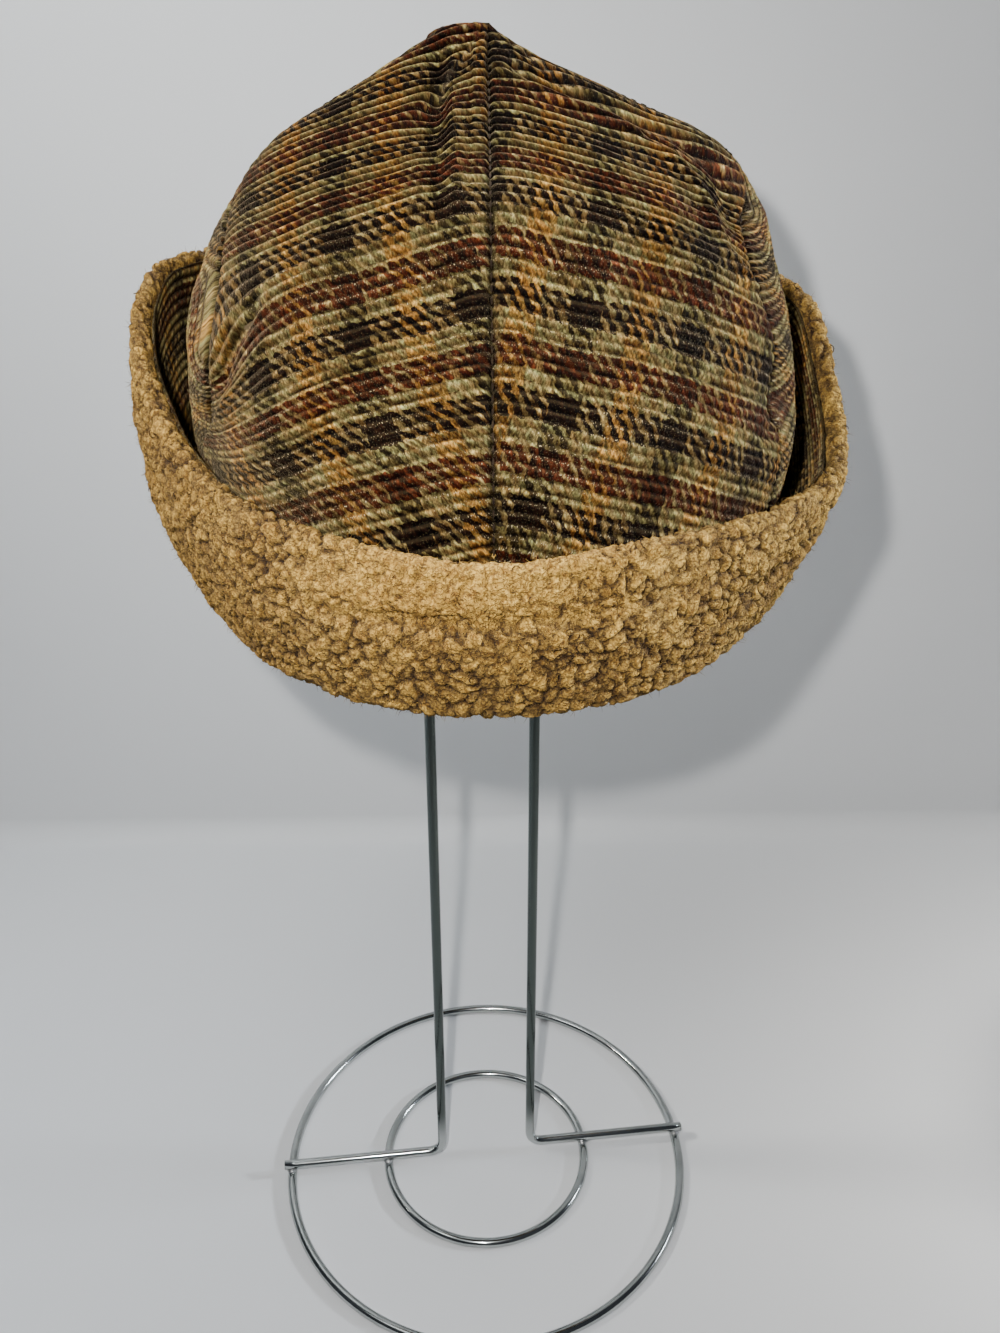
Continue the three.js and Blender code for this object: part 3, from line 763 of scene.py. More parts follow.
class CorduroySettings(PropertyGroup):
    rib_pitch: mm_setting("Rib pitch", "Distance from rib to rib", 2.911)
    rib_height: mm_setting("Rib height", "From groove to crest", 0.95)
    repeat_across: mm_setting("Plaid repeat along the ribs", "From one dark column to the next", 28.6)
    bead_length: mm_setting("Bead length", "Length of one light and dark pair along a rib", 3.35)
    bead_step: FloatProperty(name="Bead step", default=0.66,
                             description="How far the beads move at each rib, as a share of a bead")
    stitch_pitch: mm_setting("Stitch pitch", "From one stitch to the next", 3.0)
    thread: mm_setting("Thread", "Thickness of the seams' thread", 0.55)
    column_step: FloatProperty(name="Column step", description="Turn between the mesh's columns, in degrees",
                               default=0.8)
    sage: colour_setting("Sage", "Pale grey-green thread", (0.0605, 0.0553, 0.0222))
    cream: colour_setting("Cream", "Light thread of the columns", (0.0846, 0.0648, 0.0266))
    dark_brown: colour_setting("Dark brown", "Thread of the dark squares", (0.004, 0.0017, 0.001))
    rust: colour_setting("Rust", "Red-brown thread", (0.0218, 0.0058, 0.0024))
    gold: colour_setting("Gold", "Orange-gold thread", (0.1055, 0.0605, 0.0151))
    ground: colour_setting("Ground", "Ground cloth between the ribs", (0.0586, 0.041, 0.0202))
    lint: colour_setting("Lint", "Pale specks over the cloth", (0.135, 0.108, 0.052))
    # Colour of the painted glints, highlights painted on the rib crests.
    painted_glint: colour_setting("Glint", "Shiny thread ends", (0.2664, 0.2131, 0.1279))


class FleeceSettings(PropertyGroup):
    knot_size: mm_setting("Knot size", "Distance between the wool's curls", 3.7)
    knot_height: mm_setting("Knot height", "From crevice to top of a curl", 1.7)
    columns: IntProperty(name="Columns", description="Steps of the mesh round the cap", default=1240)
    outer_rows: IntProperty(name="Outer rows", description="Steps of the mesh up the cuff", default=80)
    curls: IntProperty(name="Curls", description="Loose curls of wool standing on the cuff", default=3000)
    curl_size: mm_setting("Curl size", "Radius of a loose curl", 1.0)
    fibres: IntProperty(name="Fibres", description="Short single fibres standing on the cuff", default=16000)
    fibre_length: mm_setting("Fibre length", "Length of a single fibre", 2.2)
    seed: IntProperty(name="Seed", description="Choice of the curls' places", default=11)
    wool: colour_setting("Wool", "Colour of the curls", (0.1373, 0.087, 0.0233))
    # The curls' tops and the crevices between them are a painted highlight and painted shade.
    lit_wool_tip: colour_setting("Wool tips", "Colour of the curls' tops", (0.3135, 0.1995, 0.0437))
    wool_shadow: colour_setting("Wool shadow", "Colour of the curls' sides", (0.0628, 0.0364, 0.0109))
    crevice_shade: colour_setting("Crevice", "Colour between the curls", (0.0142, 0.0064, 0.0022))


class StandSettings(PropertyGroup):
    wire: FloatProperty(name="Wire", description="Diameter of the wire", default=0.004, unit="LENGTH")
    sides: IntProperty(name="Sides", description="Sides of the wire's section", default=14)


class StageSettings(PropertyGroup):
    lens: FloatProperty(name="Lens", default=29.44,
                        description="Focal length in mm on the camera's 36 mm side")
    camera_height: FloatProperty(name="Camera height", description="Above the floor", default=0.4351,
                                 unit="LENGTH")
    camera_distance: FloatProperty(name="Camera distance", description="In front of the stand's axis",
                                   default=0.3373, unit="LENGTH")
    camera_fall: FloatProperty(name="Camera fall", description="How far the camera looks down",
                               default=math.radians(28.1), subtype="ANGLE")
    camera_turn: FloatProperty(name="Camera turn", description="How far the camera looks to the right",
                               default=math.radians(1.07), subtype="ANGLE")


# ---- Crown

# Across one rib: share of its pitch, and height as a share of the rib's.
RIB_PROFILE = np.array([(0.0, 0.0), (0.10, 0.45), (0.26, 0.84), (0.5, 1.0), (0.74, 0.84), (0.90, 0.45)])

# Degrees from a seam to the mesh's columns beside it.
SEAM_COLUMNS = np.array([0.0, 0.3, 0.6, 1.0, 1.5, 2.1, 2.8, 3.6])

# Rows that close each panel at the point, above the first rib.
POINT_ROWS = 12

# The ribs that have a row for each place of the profile, counted from the first dark row. Below them,
# where the cuff hides the cloth, each rib has two rows. They end so far down the seam, in mm.
SHOWN_RIBS = np.arange(-6, 50)
SEAM_REACH = 200.0

# Each row and column of the panel's plain inner face stands for so many of the outer one's.
INNER_STEPS = (9, 5)

# How far from the point the cloth's unevenness has grown to its full height, in mm.
POINT_FADE = 6.0

# The share of the ribs' height that is worn away on the way down, between these ribs.
WORN = 0.45
WORN_RIBS = (8, 24)

# The trench along each seam, as two hollows: depth and half width, in mm.
SEAM_HOLLOWS = ((1.1, 0.8), (0.3, 3.5))

# The seam's allowance: its width, where down the seam it begins to fade and where it would be gone, in mm,
# and the share of it that stays.
ALLOWANCE_WIDTH = 4.6
ALLOWANCE_FADE = (35, 75)
ALLOWANCE_LEFT = 0.25

# The cloth doubles up inside the seams: how thick, and how wide, in mm.
SEAM_BULK = (1.1, 3.0)

# The stitches: how far under the crown's smooth face, how far from its point and its bottom edge, and
# their length as a share of the pitch.
STITCH_DEPTH = 1.25
STITCH_ENDS = (1.5, 4)
STITCH_LENGTH = 0.62


def rib_lift(ribs):
    """Height of the rib at a count of ribs, from 0 in the groove to 1 on the crest."""
    return np.interp(ribs % 1, *np.vstack([RIB_PROFILE, (1.0, 0.0)]).T)


def plane_height(azimuth, radius, z, seam_azimuth):
    """Which of the slanting planes that the ribs lie in passes through a point of the crown."""
    turn = np.radians(signed_turn(azimuth - seam_azimuth))
    aside = np.abs(radius * np.sin(turn))
    plane = z + RIB_FALL_SIDEWAYS * np.hypot(aside, RIB_ARCH) - RIB_FALL_ALONG * radius * np.cos(turn)
    plane = plane + np.clip(aside / 12, 0, 1) * waves(azimuth, z, (1.1, 14, 26, 61))
    for at, height, across, tall, drop in RIB_BENDS:
        off = signed_turn(azimuth - at) / across
        plane = plane + drop * np.exp(-off * off - ((z - height) / tall) ** 2)
    return plane


def side_seam(side, z):
    return monotone(SIDE_SEAMS[:, 0], SIDE_SEAMS[:, 1 if side == "right" else 2], z)


def crease_lift(place):
    """How far the creases lift a grid of points of the crown, in mm."""
    lift = np.zeros(place.shape[:2])
    for path, width, rise in CROWN_CREASES:
        fine = np.linspace(0, len(path) - 1, 24)
        azimuth, z = (np.interp(fine, np.arange(len(path)), part) for part in np.array(path, float).T)
        line = around_axis(azimuth, crown_radius(azimuth, z), z)
        nearest = np.full(place.shape[:2], 1.0)
        for a, b in zip(line[:-1], line[1:]):
            along = b - a
            share = np.clip((place - a) @ along / (along @ along), 0, 1)
            nearest = np.minimum(nearest, np.linalg.norm(place - a - share[..., None] * along, axis=2))
        lift += rise * np.exp(-(nearest / MM / width) ** 2)
    return lift


def seam_distance(seam_azimuth):
    """Plane heights and distances from the point, down one centre seam."""
    z = np.linspace(290.0, CROWN_TOP_Z, 900)
    radius = crown_radius(seam_azimuth, z)
    steps = np.hypot(np.diff(z), np.diff(radius))
    distance = np.concatenate([np.cumsum(steps[::-1])[::-1], [0.0]])
    return plane_height(seam_azimuth, radius, z, seam_azimuth), distance


def surface_normal(place):
    """Unit normals, away from the cap's axis, of a grid whose rows go down and whose columns go round."""
    normal = np.cross(np.gradient(place, axis=1), np.gradient(place, axis=0))
    middle = len(place) // 2, place.shape[1] // 2
    if normal[middle] @ (place[middle] * (1, 1, 0)) < 0:
        normal = -normal
    size = np.linalg.norm(normal, axis=2, keepdims=True)
    normal = np.divide(normal, size, out=np.zeros_like(normal), where=size > 1e-12)
    normal[0] = (0, 0, 1)
    return normal


def panel_grid(settings, seam, side, seam_azimuth, start, planes, distances):
    """Azimuths and heights of a panel's vertices. Rows follow the ribs down, and columns the seams."""
    heights = np.linspace(CROWN_BOTTOM_Z, CROWN_TOP_Z, 1400)
    side_at = side_seam(side, heights)
    width = abs(side_at.mean() - seam)
    last = SEAM_COLUMNS[-1]
    steps = int((width - 2 * last) / settings.column_step)
    middle = np.linspace(last, width - last, steps + 1)[1:-1]
    shares = np.concatenate([SEAM_COLUMNS, middle, width - SEAM_COLUMNS[::-1]]) / width

    pitch = settings.rib_pitch
    fine = start + pitch * (SHOWN_RIBS[:, None] + RIB_PROFILE[:, 0]).ravel()
    levels = np.concatenate([fine[fine > 1.5], np.arange(fine[-1] + pitch / 2, SEAM_REACH, pitch / 2)])
    level_planes = np.interp(levels, distances[::-1], planes[::-1])

    turns, z = np.empty((2, POINT_ROWS + len(levels), len(shares)))
    for column, share in enumerate(shares):
        turns_here = seam + share * (side_at - seam)
        radius = crown_radius(turns_here, heights)
        plane = np.maximum.accumulate(plane_height(turns_here, radius, heights, seam_azimuth))
        rising = np.concatenate([[True], np.diff(plane) > 1e-5])
        found = np.interp(level_planes, plane[rising], heights[rising])
        length = np.concatenate([[0], np.cumsum(np.hypot(np.diff(heights), np.diff(radius)))])
        first = np.interp(found[0], heights, length)
        upper = first + (length[-1] - first) * np.linspace(1, 0, POINT_ROWS, endpoint=False)
        z[:, column] = np.concatenate([np.interp(upper, length, heights), found])
        turns[:, column] = np.interp(z[:, column], heights, turns_here)
    return turns, z


def panel_lift(settings, along, down, ribs, seam_off, side_off, allowance):
    """How far the cloth of a panel stands off its smooth shape, in mm: ribs, unevenness and seams."""
    worn = 1 - WORN * np.interp(ribs, WORN_RIBS, (0, 1))
    lift = settings.rib_height * worn * (rib_lift(ribs) - 1)
    lift = lift + waves(along, ribs, (0.12, 3, 1, 8))
    lift = lift + waves(along, down, (0.40, 22, 17, 21), (0.20, 9, 8, 22))
    for depth, width in SEAM_HOLLOWS:
        lift = lift - depth * (np.exp(-(seam_off / width) ** 2) + np.exp(-(side_off / width) ** 2))
    band = np.clip((ALLOWANCE_WIDTH - seam_off) / 0.8, 0, 1) * np.clip(seam_off / 0.9, 0, 1)
    return lift + allowance * band * np.clip(np.interp(down, ALLOWANCE_FADE, (1, 0)), ALLOWANCE_LEFT, 1)


def crown_panel(settings, materials, name, seam, side, seam_azimuth, way, first_row, first_column, allowance):
    """One quarter of the crown, from the point down to the bottom edge, with a plain inner face."""
    planes, distances = seam_distance(seam_azimuth)
    start = first_row - settings.rib_pitch + RIB_FALL_SIDEWAYS * RIB_ARCH
    turns, z = panel_grid(settings, seam, side, seam_azimuth, start, planes, distances)
    radius = crown_radius(turns, z)
    plane = plane_height(turns, radius, z, seam_azimuth)
    down = np.interp(plane, planes, distances)
    down = np.where(plane > planes[-1], planes[-1] - plane, down)

    place = around_axis(turns, radius, z)
    along = np.linalg.norm(np.diff(place, axis=1), axis=2) / MM
    along = np.concatenate([np.zeros((len(z), 1)), np.cumsum(along, axis=1)], axis=1)
    across = way * (along - first_column - np.interp(down, *PLAID_LEAN)) / settings.repeat_across
    ribs = (down - start) / settings.rib_pitch
    ribs = ribs + waves(along, ribs, (0.06, 16, 3, 3), (0.03, 5, 1, 5))

    fade = np.clip(radius / POINT_FADE, 0, 1)
    place = place + surface_normal(place) * (crease_lift(place) * fade)[..., None] * MM
    normal = surface_normal(place)
    seam_off, side_off = (np.linalg.norm(place - edge, axis=2) / MM for edge in (place[:, :1], place[:, -1:]))
    lift = panel_lift(settings, along, down, ribs, seam_off, side_off, allowance)
    outer = place + normal * (lift * fade)[..., None] * MM
    outer[0] = outer[0].mean(axis=0)

    height, width = z.shape
    kept = np.ix_(*(np.unique(np.r_[0:size - 1:step, size - 1]) for size, step in zip(z.shape, INNER_STEPS)))
    bulk, spread = SEAM_BULK
    bulk = bulk * np.exp(-(np.minimum(seam_off, side_off)[kept] / spread) ** 2)
    inside = CORDUROY_THICKNESS + settings.rib_height * 0.2 + bulk
    inner = place[kept] - normal[kept] * inside[..., None] * MM
    inner[0] = inner[0].mean(axis=0) - np.array([0, 0, 0.5 * MM])

    clockwise = turns[-1, -1] < seam
    outer_index = np.arange(z.size).reshape(z.shape)
    inner_index = z.size + np.arange(inner[..., 0].size).reshape(inner.shape[:2])
    faces = [grid_faces(height, width, flip=not clockwise),
             grid_faces(*inner.shape[:2], start=z.size, flip=clockwise)]
    for edge, turned in ((np.s_[-1], clockwise), (np.s_[:, 0], not clockwise), (np.s_[:, -1], clockwise)):
        strip = zip_edges(outer_index[edge], inner_index[edge])
        faces.append(strip[:, [0, 2, 1, 1]] if turned else strip)
    face_material = np.repeat([0, 1, 0, 0, 0], [len(part) for part in faces])

    def on_both(values):
        """A value for each vertex of the outer face, and then of the inner one."""
        return np.concatenate([part.reshape(-1, *values.shape[2:]) for part in (values, values[kept])])

    # Painted shade for the seams' trenches, kept in the seam attribute.
    painted_seam_shade = np.exp(-(np.minimum(seam_off * 0.7, side_off) / 1.0) ** 2)
    piece = mesh_piece(name.replace("crown_panel", "corduroy"),
                       np.concatenate([outer.reshape(-1, 3), inner.reshape(-1, 3)]), np.concatenate(faces),
                       materials, uv=on_both(join(across, ribs)), values={"seam": on_both(painted_seam_shade)},
                       face_material=face_material)
    settle(piece, "plaid_corduroy", name)


class CAP_OT_crown(Operator):
    """Make the four corduroy panels of the crown"""

    bl_idname = "cap.crown"
    bl_label = "Crown panels"

    def execute(self, context):
        settings = context.scene.cap_corduroy
        materials = (plaid_corduroy(settings), cloth_back(settings))
        for row in CROWN_PANELS:
            crown_panel(settings, materials, *row)
        return {"FINISHED"}


class CAP_OT_stitches(Operator):
    """Sew the stitches that show in the crown's four seams"""

    bl_idname = "cap.stitches"
    bl_label = "Seam stitches"

    def execute(self, context):
        settings = context.scene.cap_corduroy
        curve = bpy.data.curves.new("seam_lines", "CURVE")
        curve.dimensions = "3D"
        heights = np.linspace(CROWN_TOP_Z - STITCH_ENDS[0], CROWN_BOTTOM_Z + STITCH_ENDS[1], 90)
        for seam in (0.0, 180.0, side_seam("right", heights), side_seam("left", heights)):
            line = around_axis(seam, crown_radius(seam, heights) - STITCH_DEPTH, heights)
            spline = curve.splines.new("POLY")
            spline.points.add(len(line) - 1)
            spline.points.foreach_set("co", np.column_stack([line, np.ones(len(line))]).ravel())
        tree = ShapeNodes("stitches", ("Stitch pitch", "Float"), ("Stitch length", "Float"),
                          ("Thread", "Float"))
        given = tree.given
        spots = tree.add("GeometryNodeCurveToPoints", {"Curve": given, "Length": given["Stitch pitch"]},
                         mode="LENGTH")
        bead = tree.add("GeometryNodeMeshUVSphere", {"Segments": 6, "Rings": 5, "Radius": 0.5})
        size = tree.vector(given["Thread"], given["Thread"], given["Stitch length"])
        sewn = tree.add("GeometryNodeInstanceOnPoints", {
            "Points": spots, "Instance": bead, "Rotation": spots["Rotation"], "Scale": size})
        tree.finish(sewn, seam_thread())
        piece = tree.grow("seam_stitches", add_object("seam_lines", curve), {
            "Stitch pitch": settings.stitch_pitch * MM, "Thread": settings.thread * MM,
            "Stitch length": settings.stitch_pitch * STITCH_LENGTH * MM})
        settle(piece, "plaid_corduroy")
        return {"FINISHED"}


# ---- Cuff

# Steps of the mesh round the cuff's facing, the ribs that show on it, and how far above the cuff's floor
# they stop, in mm.
FACING_COLUMNS = 480
FACING_RIBS = 13
FACING_STOP = 3.0

# How far round the cuff is, in mm.
CUFF_GIRTH = 2 * math.pi * 105.0

# Rows of the fleece's mesh at the fold, and round the rim.
FOLD_ROWS = 9
RIM_ROWS = 13

# The fleece's knots in three sizes: how many there are to a common knot, and what is added to the seed.
KNOT_SIZES = ((1, 0), (0.42, 40), (2, 80))

# What bends the knots' edges: how many waves to a knot, and how far they reach, in knots.
KNOT_BENDS = ((0.6, 0.38), (1.9, 0.20))

# Where the wool rolls over at the centre front: azimuth, half width in degrees, and the heights between
# which it begins.
ROLL = (-4, 15, (322, 330))

# Loose curls and single fibres: how far they lean, in radians, how deep they stand, in metres, and how
# light they are.
CURL_LOOK = (0.6, (-0.0007, 0.0001), (0.15, 0.75))
FIBRE_LOOK = (1.15, (-0.0004, -0.0002), (0.25, 1.0))


def section_rows(azimuth, rows):
    """Radii and heights of a section all round the axis, from rows given as (radius, height)."""
    return (np.stack([np.broadcast_to(row[k], azimuth.shape) for row in rows]) for k in (0, 1))


class CAP_OT_facing(Operator):
    """Make the corduroy face of the turned-up cuff"""

    bl_idname = "cap.facing"
    bl_label = "Cuff facing"

    def execute(self, context):
        settings = context.scene.cap_corduroy
        azimuth = np.arange(FACING_COLUMNS) * 360 / FACING_COLUMNS
        rim_radius, rim_z = cuff_point(azimuth, 1.0)
        floor = CUFF_BASE_Z + LAYER_GAP

        # Distance down from the rim: the ribs, then six wider steps where the cuff is tall.
        fine = settings.rib_pitch * (np.arange(FACING_RIBS)[:, None] + RIB_PROFILE[:, 0]).ravel()
        depth = rim_z - floor
        rest = np.maximum(depth - FACING_STOP - fine[-1], 0)
        down = np.concatenate([np.minimum(fine[:, None], depth - FACING_STOP),
                               fine[-1] + rest * np.linspace(0.25, 1, 6)[:, None]])
        radius, z = cuff_point(azimuth, 1 - down / depth)
        layer = FLEECE_THICKNESS + LAYER_GAP + CORDUROY_THICKNESS
        ribs = down / settings.rib_pitch
        around = np.radians(azimuth) * rim_radius
        face = radius - layer + settings.rib_height * (1 - rib_lift(ribs))
        face = face + waves(around, ribs, (0.10, 5, 1, 31), (0.3, 20, 6, 32))

        # Round the section: over the rim, down the face, in under the cuff, and up the back.
        under = crown_radius(azimuth, floor) - CORDUROY_THICKNESS
        back_radius, back_z = cuff_point(azimuth, np.linspace(0, 1, 8)[:, None])
        back_z[0] = floor
        rows = [(rim_radius - layer + 0.35, rim_z + 0.25), *zip(face, z),
                (face[-1], floor + CORDUROY_THICKNESS), (under, floor + CORDUROY_THICKNESS), (under, floor),
                *zip(back_radius - FLEECE_THICKNESS - LAYER_GAP, back_z),
                (rim_radius - layer + 0.85, rim_z + 0.45)]
        place = around_axis(azimuth, *section_rows(azimuth, rows))

        beyond = down[-1] + 1 + np.arange(len(rows) - len(down) - 1)[:, None]
        down = np.concatenate([np.full((1, FACING_COLUMNS), -0.2), down, beyond])
        repeats = round(around.max() * FACING_COLUMNS / (FACING_COLUMNS - 1) / settings.repeat_across)
        uv = join(azimuth / 360 * repeats, down / settings.rib_pitch + 3.0)
        piece = mesh_piece("corduroy_facing", place.reshape(-1, 3),
                           grid_faces(len(rows), FACING_COLUMNS, wrap=True, loop=True),
                           [bpy.data.materials["plaid corduroy"]], uv=uv.reshape(-1, 2))
        settle(piece, "plaid_corduroy", "cuff_facing")
        return {"FINISHED"}


def knots(along, up, count, seed):
    """Flattened cells like curls of wool: height from 0 in the crevices to 1, and each cell's number.

    count is how many cells go round the cuff."""
    size = CUFF_GIRTH / count
    x, y = along / size, up / size
    for number, (share, reach) in enumerate(KNOT_BENDS):
        cells = round(count * share)
        at = (x * cells / count, y * share)
        x = x + reach * soft_noise(*at, seed + 10 + number, cells)
        y = y + reach * soft_noise(*at, seed + 20 + number, cells)
    i, j = np.floor(x), np.floor(y)
    nearest = second = np.full(x.shape, 9.0)
    number = np.zeros(x.shape)
    for di in (-2, -1, 0, 1, 2):
        for dj in (-2, -1, 0, 1, 2):
            a, b = i + di, j + dj
            right, ahead, wide, own = (lattice(a % count, b, seed + k) for k in (3, 4, 5, 6))
            distance = (np.hypot(x - (a + 0.5 + 0.9 * (right - 0.5)), y - (b + 0.5 + 0.9 * (ahead - 0.5)))
                        / (0.65 + 0.7 * wide))
            closer = distance < nearest
            second = np.where(closer, nearest, np.minimum(second, distance))
            number = np.where(closer, own, number)
            nearest = np.where(closer, distance, nearest)
    rise = 1 - np.exp(-(second - nearest) / 0.18)
    joined = np.clip(0.05 + 1.3 * soft_noise(x * 0.8, y * 0.8, seed + 30), 0, 0.5)
    rise = rise + (1 - rise) * joined
    dome = np.sqrt(np.clip(1 - (nearest / 1.3) ** 2, 0, 1))
    return rise * (0.62 + 0.38 * dome), number


def lining_radius(azimuth, z):
    return crown_radius(azimuth, z) - CORDUROY_THICKNESS - LINING_GAP


def fleece_section(azimuth, outer_rows):
    """Radii and heights round the fleece's section, and how many of its rows show from outside."""
    radius, z = cuff_point(azimuth, np.linspace(0, 1, outer_rows)[:, None])
    radius = radius - crease_depth(azimuth, z)
    half = FLEECE_THICKNESS / 2
    rows = [(radius[0] - half * 1.6 * (1 - math.cos(turn)),
             CUFF_BASE_Z + (CUFF_BASE_Z - FOLD_Z) * math.sin(turn))
            for turn in np.linspace(-0.5 * math.pi, 0, FOLD_ROWS + 1)[:-1]]
    rows += zip(radius, z)
    rows += [(radius[-1] - half + half * math.cos(turn), z[-1] + half * math.sin(turn))
             for turn in np.linspace(0, math.pi, RIM_ROWS + 1)[1:]]
    shown = len(rows)
    inner_radius, inner_z = cuff_point(azimuth, np.linspace(1, 0, 5)[1:, None])
    rows += zip(inner_radius - FLEECE_THICKNESS, inner_z)
    rows += [(lining_radius(azimuth, up), up)
             for up in (CUFF_BASE_Z, (CUFF_BASE_Z + LINING_TOP_Z) / 2, LINING_TOP_Z)]
    rows += [(lining_radius(azimuth, up) - LINING_THICKNESS, up)
             for up in np.linspace(LINING_TOP_Z - 1, CUFF_BASE_Z, 5)]
    rows.append((lining_radius(azimuth, CUFF_BASE_Z) - LINING_THICKNESS * 0.7, FOLD_Z + 0.4))
    return *section_rows(azimuth, rows), shown


class CAP_OT_fleece(Operator):
    """Make the fleece of the cuff, with its knots of wool"""

    bl_idname = "cap.fleece"
    bl_label = "Fleece"

    def execute(self, context):
        settings = context.scene.cap_fleece
        columns = settings.columns
        azimuth = np.arange(columns) * 360.0 / columns - 90
        radius, z, shown = fleece_section(azimuth, settings.outer_rows)
        place = around_axis(azimuth, radius, z)
        up_way = np.roll(place, -1, 0) - np.roll(place, 1, 0)
        round_way = np.roll(place, -1, 1) - np.roll(place, 1, 1)
        normal = np.cross(round_way, up_way)
        normal /= np.maximum(np.linalg.norm(normal, axis=2, keepdims=True), 1e-12)

        # Large, middling and small knots. They lie flat where the wool rolls over at the centre front.
        step = np.hypot(np.diff(radius, axis=0), np.diff(z, axis=0))
        up = np.concatenate([np.zeros((1, columns)), np.cumsum(step, axis=0)])
        up = up - up[FOLD_ROWS] + 2.0
        along = np.broadcast_to(azimuth / 360 * CUFF_GIRTH, up.shape)
        cells = round(CUFF_GIRTH / settings.knot_size)
        (knot, number), (coarse, _), (fine, _) = (
            knots(along, up, round(cells * share), settings.seed + shift)
            for share, shift in KNOT_SIZES)
        front, wide, begins = ROLL
        rolled = np.exp(-(signed_turn(azimuth - front) / wide) ** 2) * np.interp(z, begins, (0, 1))
        height = settings.knot_height * (knot * (0.8 + 0.4 * number) - 0.85) * (1 - 0.6 * rolled)
        height = height + 0.55 * (coarse - 0.8) + 0.35 * (fine - 0.6)
        height[shown:] *= 0.25
        place = place + normal * height[..., None] * MM
        # Painted light on the fleece: shade in the crevices between knots, lighter tops, and a painted highlight
        # where the wool rolls over at the centre front.
        painted_wool_light = knot * (0.72 + 0.34 * number) + 0.16 * fine - 0.08 + 0.22 * rolled
        painted_wool_light = np.clip(painted_wool_light + rolled * (0.60 - 0.2 * painted_wool_light), 0, 1)

        material = sherpa(settings)
        for first, name, *nodes in ((0, "sherpa_front", "cuff_fleece"), (columns // 2, "sherpa_back")):
            half = np.arange(first, first + columns // 2 + 1) % columns
            piece = self.half(name, place[:, half], painted_wool_light[:, half], shown, material)
            settle(piece, "tan_fleece", *nodes)
        self.fringe(settings, place[:shown], material)
        return {"FINISHED"}

    def half(self, name, place, painted_wool_light, shown, material):
        """Half of the fleece round the cap, closed at its two ends."""
        number = np.arange(painted_wool_light.size).reshape(painted_wool_light.shape)
        turn = shown - 7
        ends = [zip_edges(number[:turn, k], number[:turn - 1:-1, k]) for k in (0, -1)]
        faces = np.concatenate([grid_faces(*painted_wool_light.shape, loop=True), ends[0][:, [0, 2, 1, 1]], ends[1]])
        return mesh_piece(name, place.reshape(-1, 3), faces, [material], values={"knot": painted_wool_light.ravel()})

    def fringe(self, settings, place, material):
        """Small loose curls of wool and short single fibres, on the part of the fleece that shows."""
        curls, fibres = (ShapeNodes(name, ("Number for each square metre", "Float"), ("Size", "Float"),
                                    ("Seed", "Int")) for name in ("loose curls", "single fibres"))
        arc = curls.add("GeometryNodeCurveArc", {"Resolution": 7, "Radius": 1.0, "Sweep Angle": 3.7})
        strand = curls.add("GeometryNodeCurvePrimitiveCircle", {"Resolution": 3, "Radius": 0.15})
        curl = curls.add("GeometryNodeCurveToMesh", {"Curve": arc, "Profile Curve": strand})
        fibre = fibres.add("GeometryNodeMeshCone", {"Vertices": 3, "Radius Top": 0.0, "Radius Bottom": 0.035,
                                                    "Depth": 1.0}, fill_type="NONE")
        self.scatter(curls, curl, *CURL_LOOK, material)
        self.scatter(fibres, fibre, *FIBRE_LOOK, material)
        for name, tree, number, size in (("wool_curls", curls, settings.curls, settings.curl_size),
                                         ("wool_fibres", fibres, settings.fibres, settings.fibre_length)):
            faces = grid_faces(*place.shape[:2], wrap=True)
            base = mesh_piece("fleece_face", place.reshape(-1, 3), faces, [])
            area = sum(face.area for face in base.data.polygons)
            piece = tree.grow(name, base, {"Number for each square metre": number / area, "Size": size * MM,
                                           "Seed": settings.seed})
            settle(piece, "tan_fleece")

    def scatter(self, tree, shape, tilt, sink, tones, material):
        """Stand copies of a shape all over a surface, each with its own lean, depth, size and tone."""
        given = tree.given
        spots = tree.add("GeometryNodeDistributePointsOnFaces", {
            "Mesh": given, "Density": given["Number for each square metre"], "Seed": given["Seed"]})
        lean = tree.vector(tree.spread(-tilt, tilt, 1), tree.spread(-tilt, tilt, 2),
                           tree.spread(0.0, math.tau, 3))
        turned = tree.add("FunctionNodeRotateRotation", {"Rotation": spots["Rotation"], "Rotate By": lean},
                          rotation_space="LOCAL")
        size = given["Size"] * tree.spread(0.5, 1.25, 4)
        sunk = tree.add("ShaderNodeVectorMath", {0: spots["Normal"], "Scale": tree.spread(*sink, 5)},
                        operation="SCALE")
        points = tree.add("GeometryNodeSetPosition", {"Geometry": spots, "Offset": sunk})
        copies = tree.add("GeometryNodeInstanceOnPoints", {
            "Points": points, "Instance": shape, "Rotation": turned, "Scale": size})
        toned = tree.add("GeometryNodeStoreNamedAttribute", {
            "Geometry": copies, "Name": "knot", "Value": tree.spread(*tones, 6)},
            data_type="FLOAT", domain="INSTANCE")
        tree.finish(toned, material)


# ---- Stand

def on_stand(sideways, back, up):
    """Points in metres, in the frame, from millimetres across and behind the stand's turned wire."""
    cos, sin = math.cos(STAND_TURN), math.sin(STAND_TURN)
    axis_x, axis_y = stand_axis()
    return join((sideways * cos - back * sin) * MM + axis_x, (sideways * sin + back * cos) * MM + axis_y,
                up * MM)


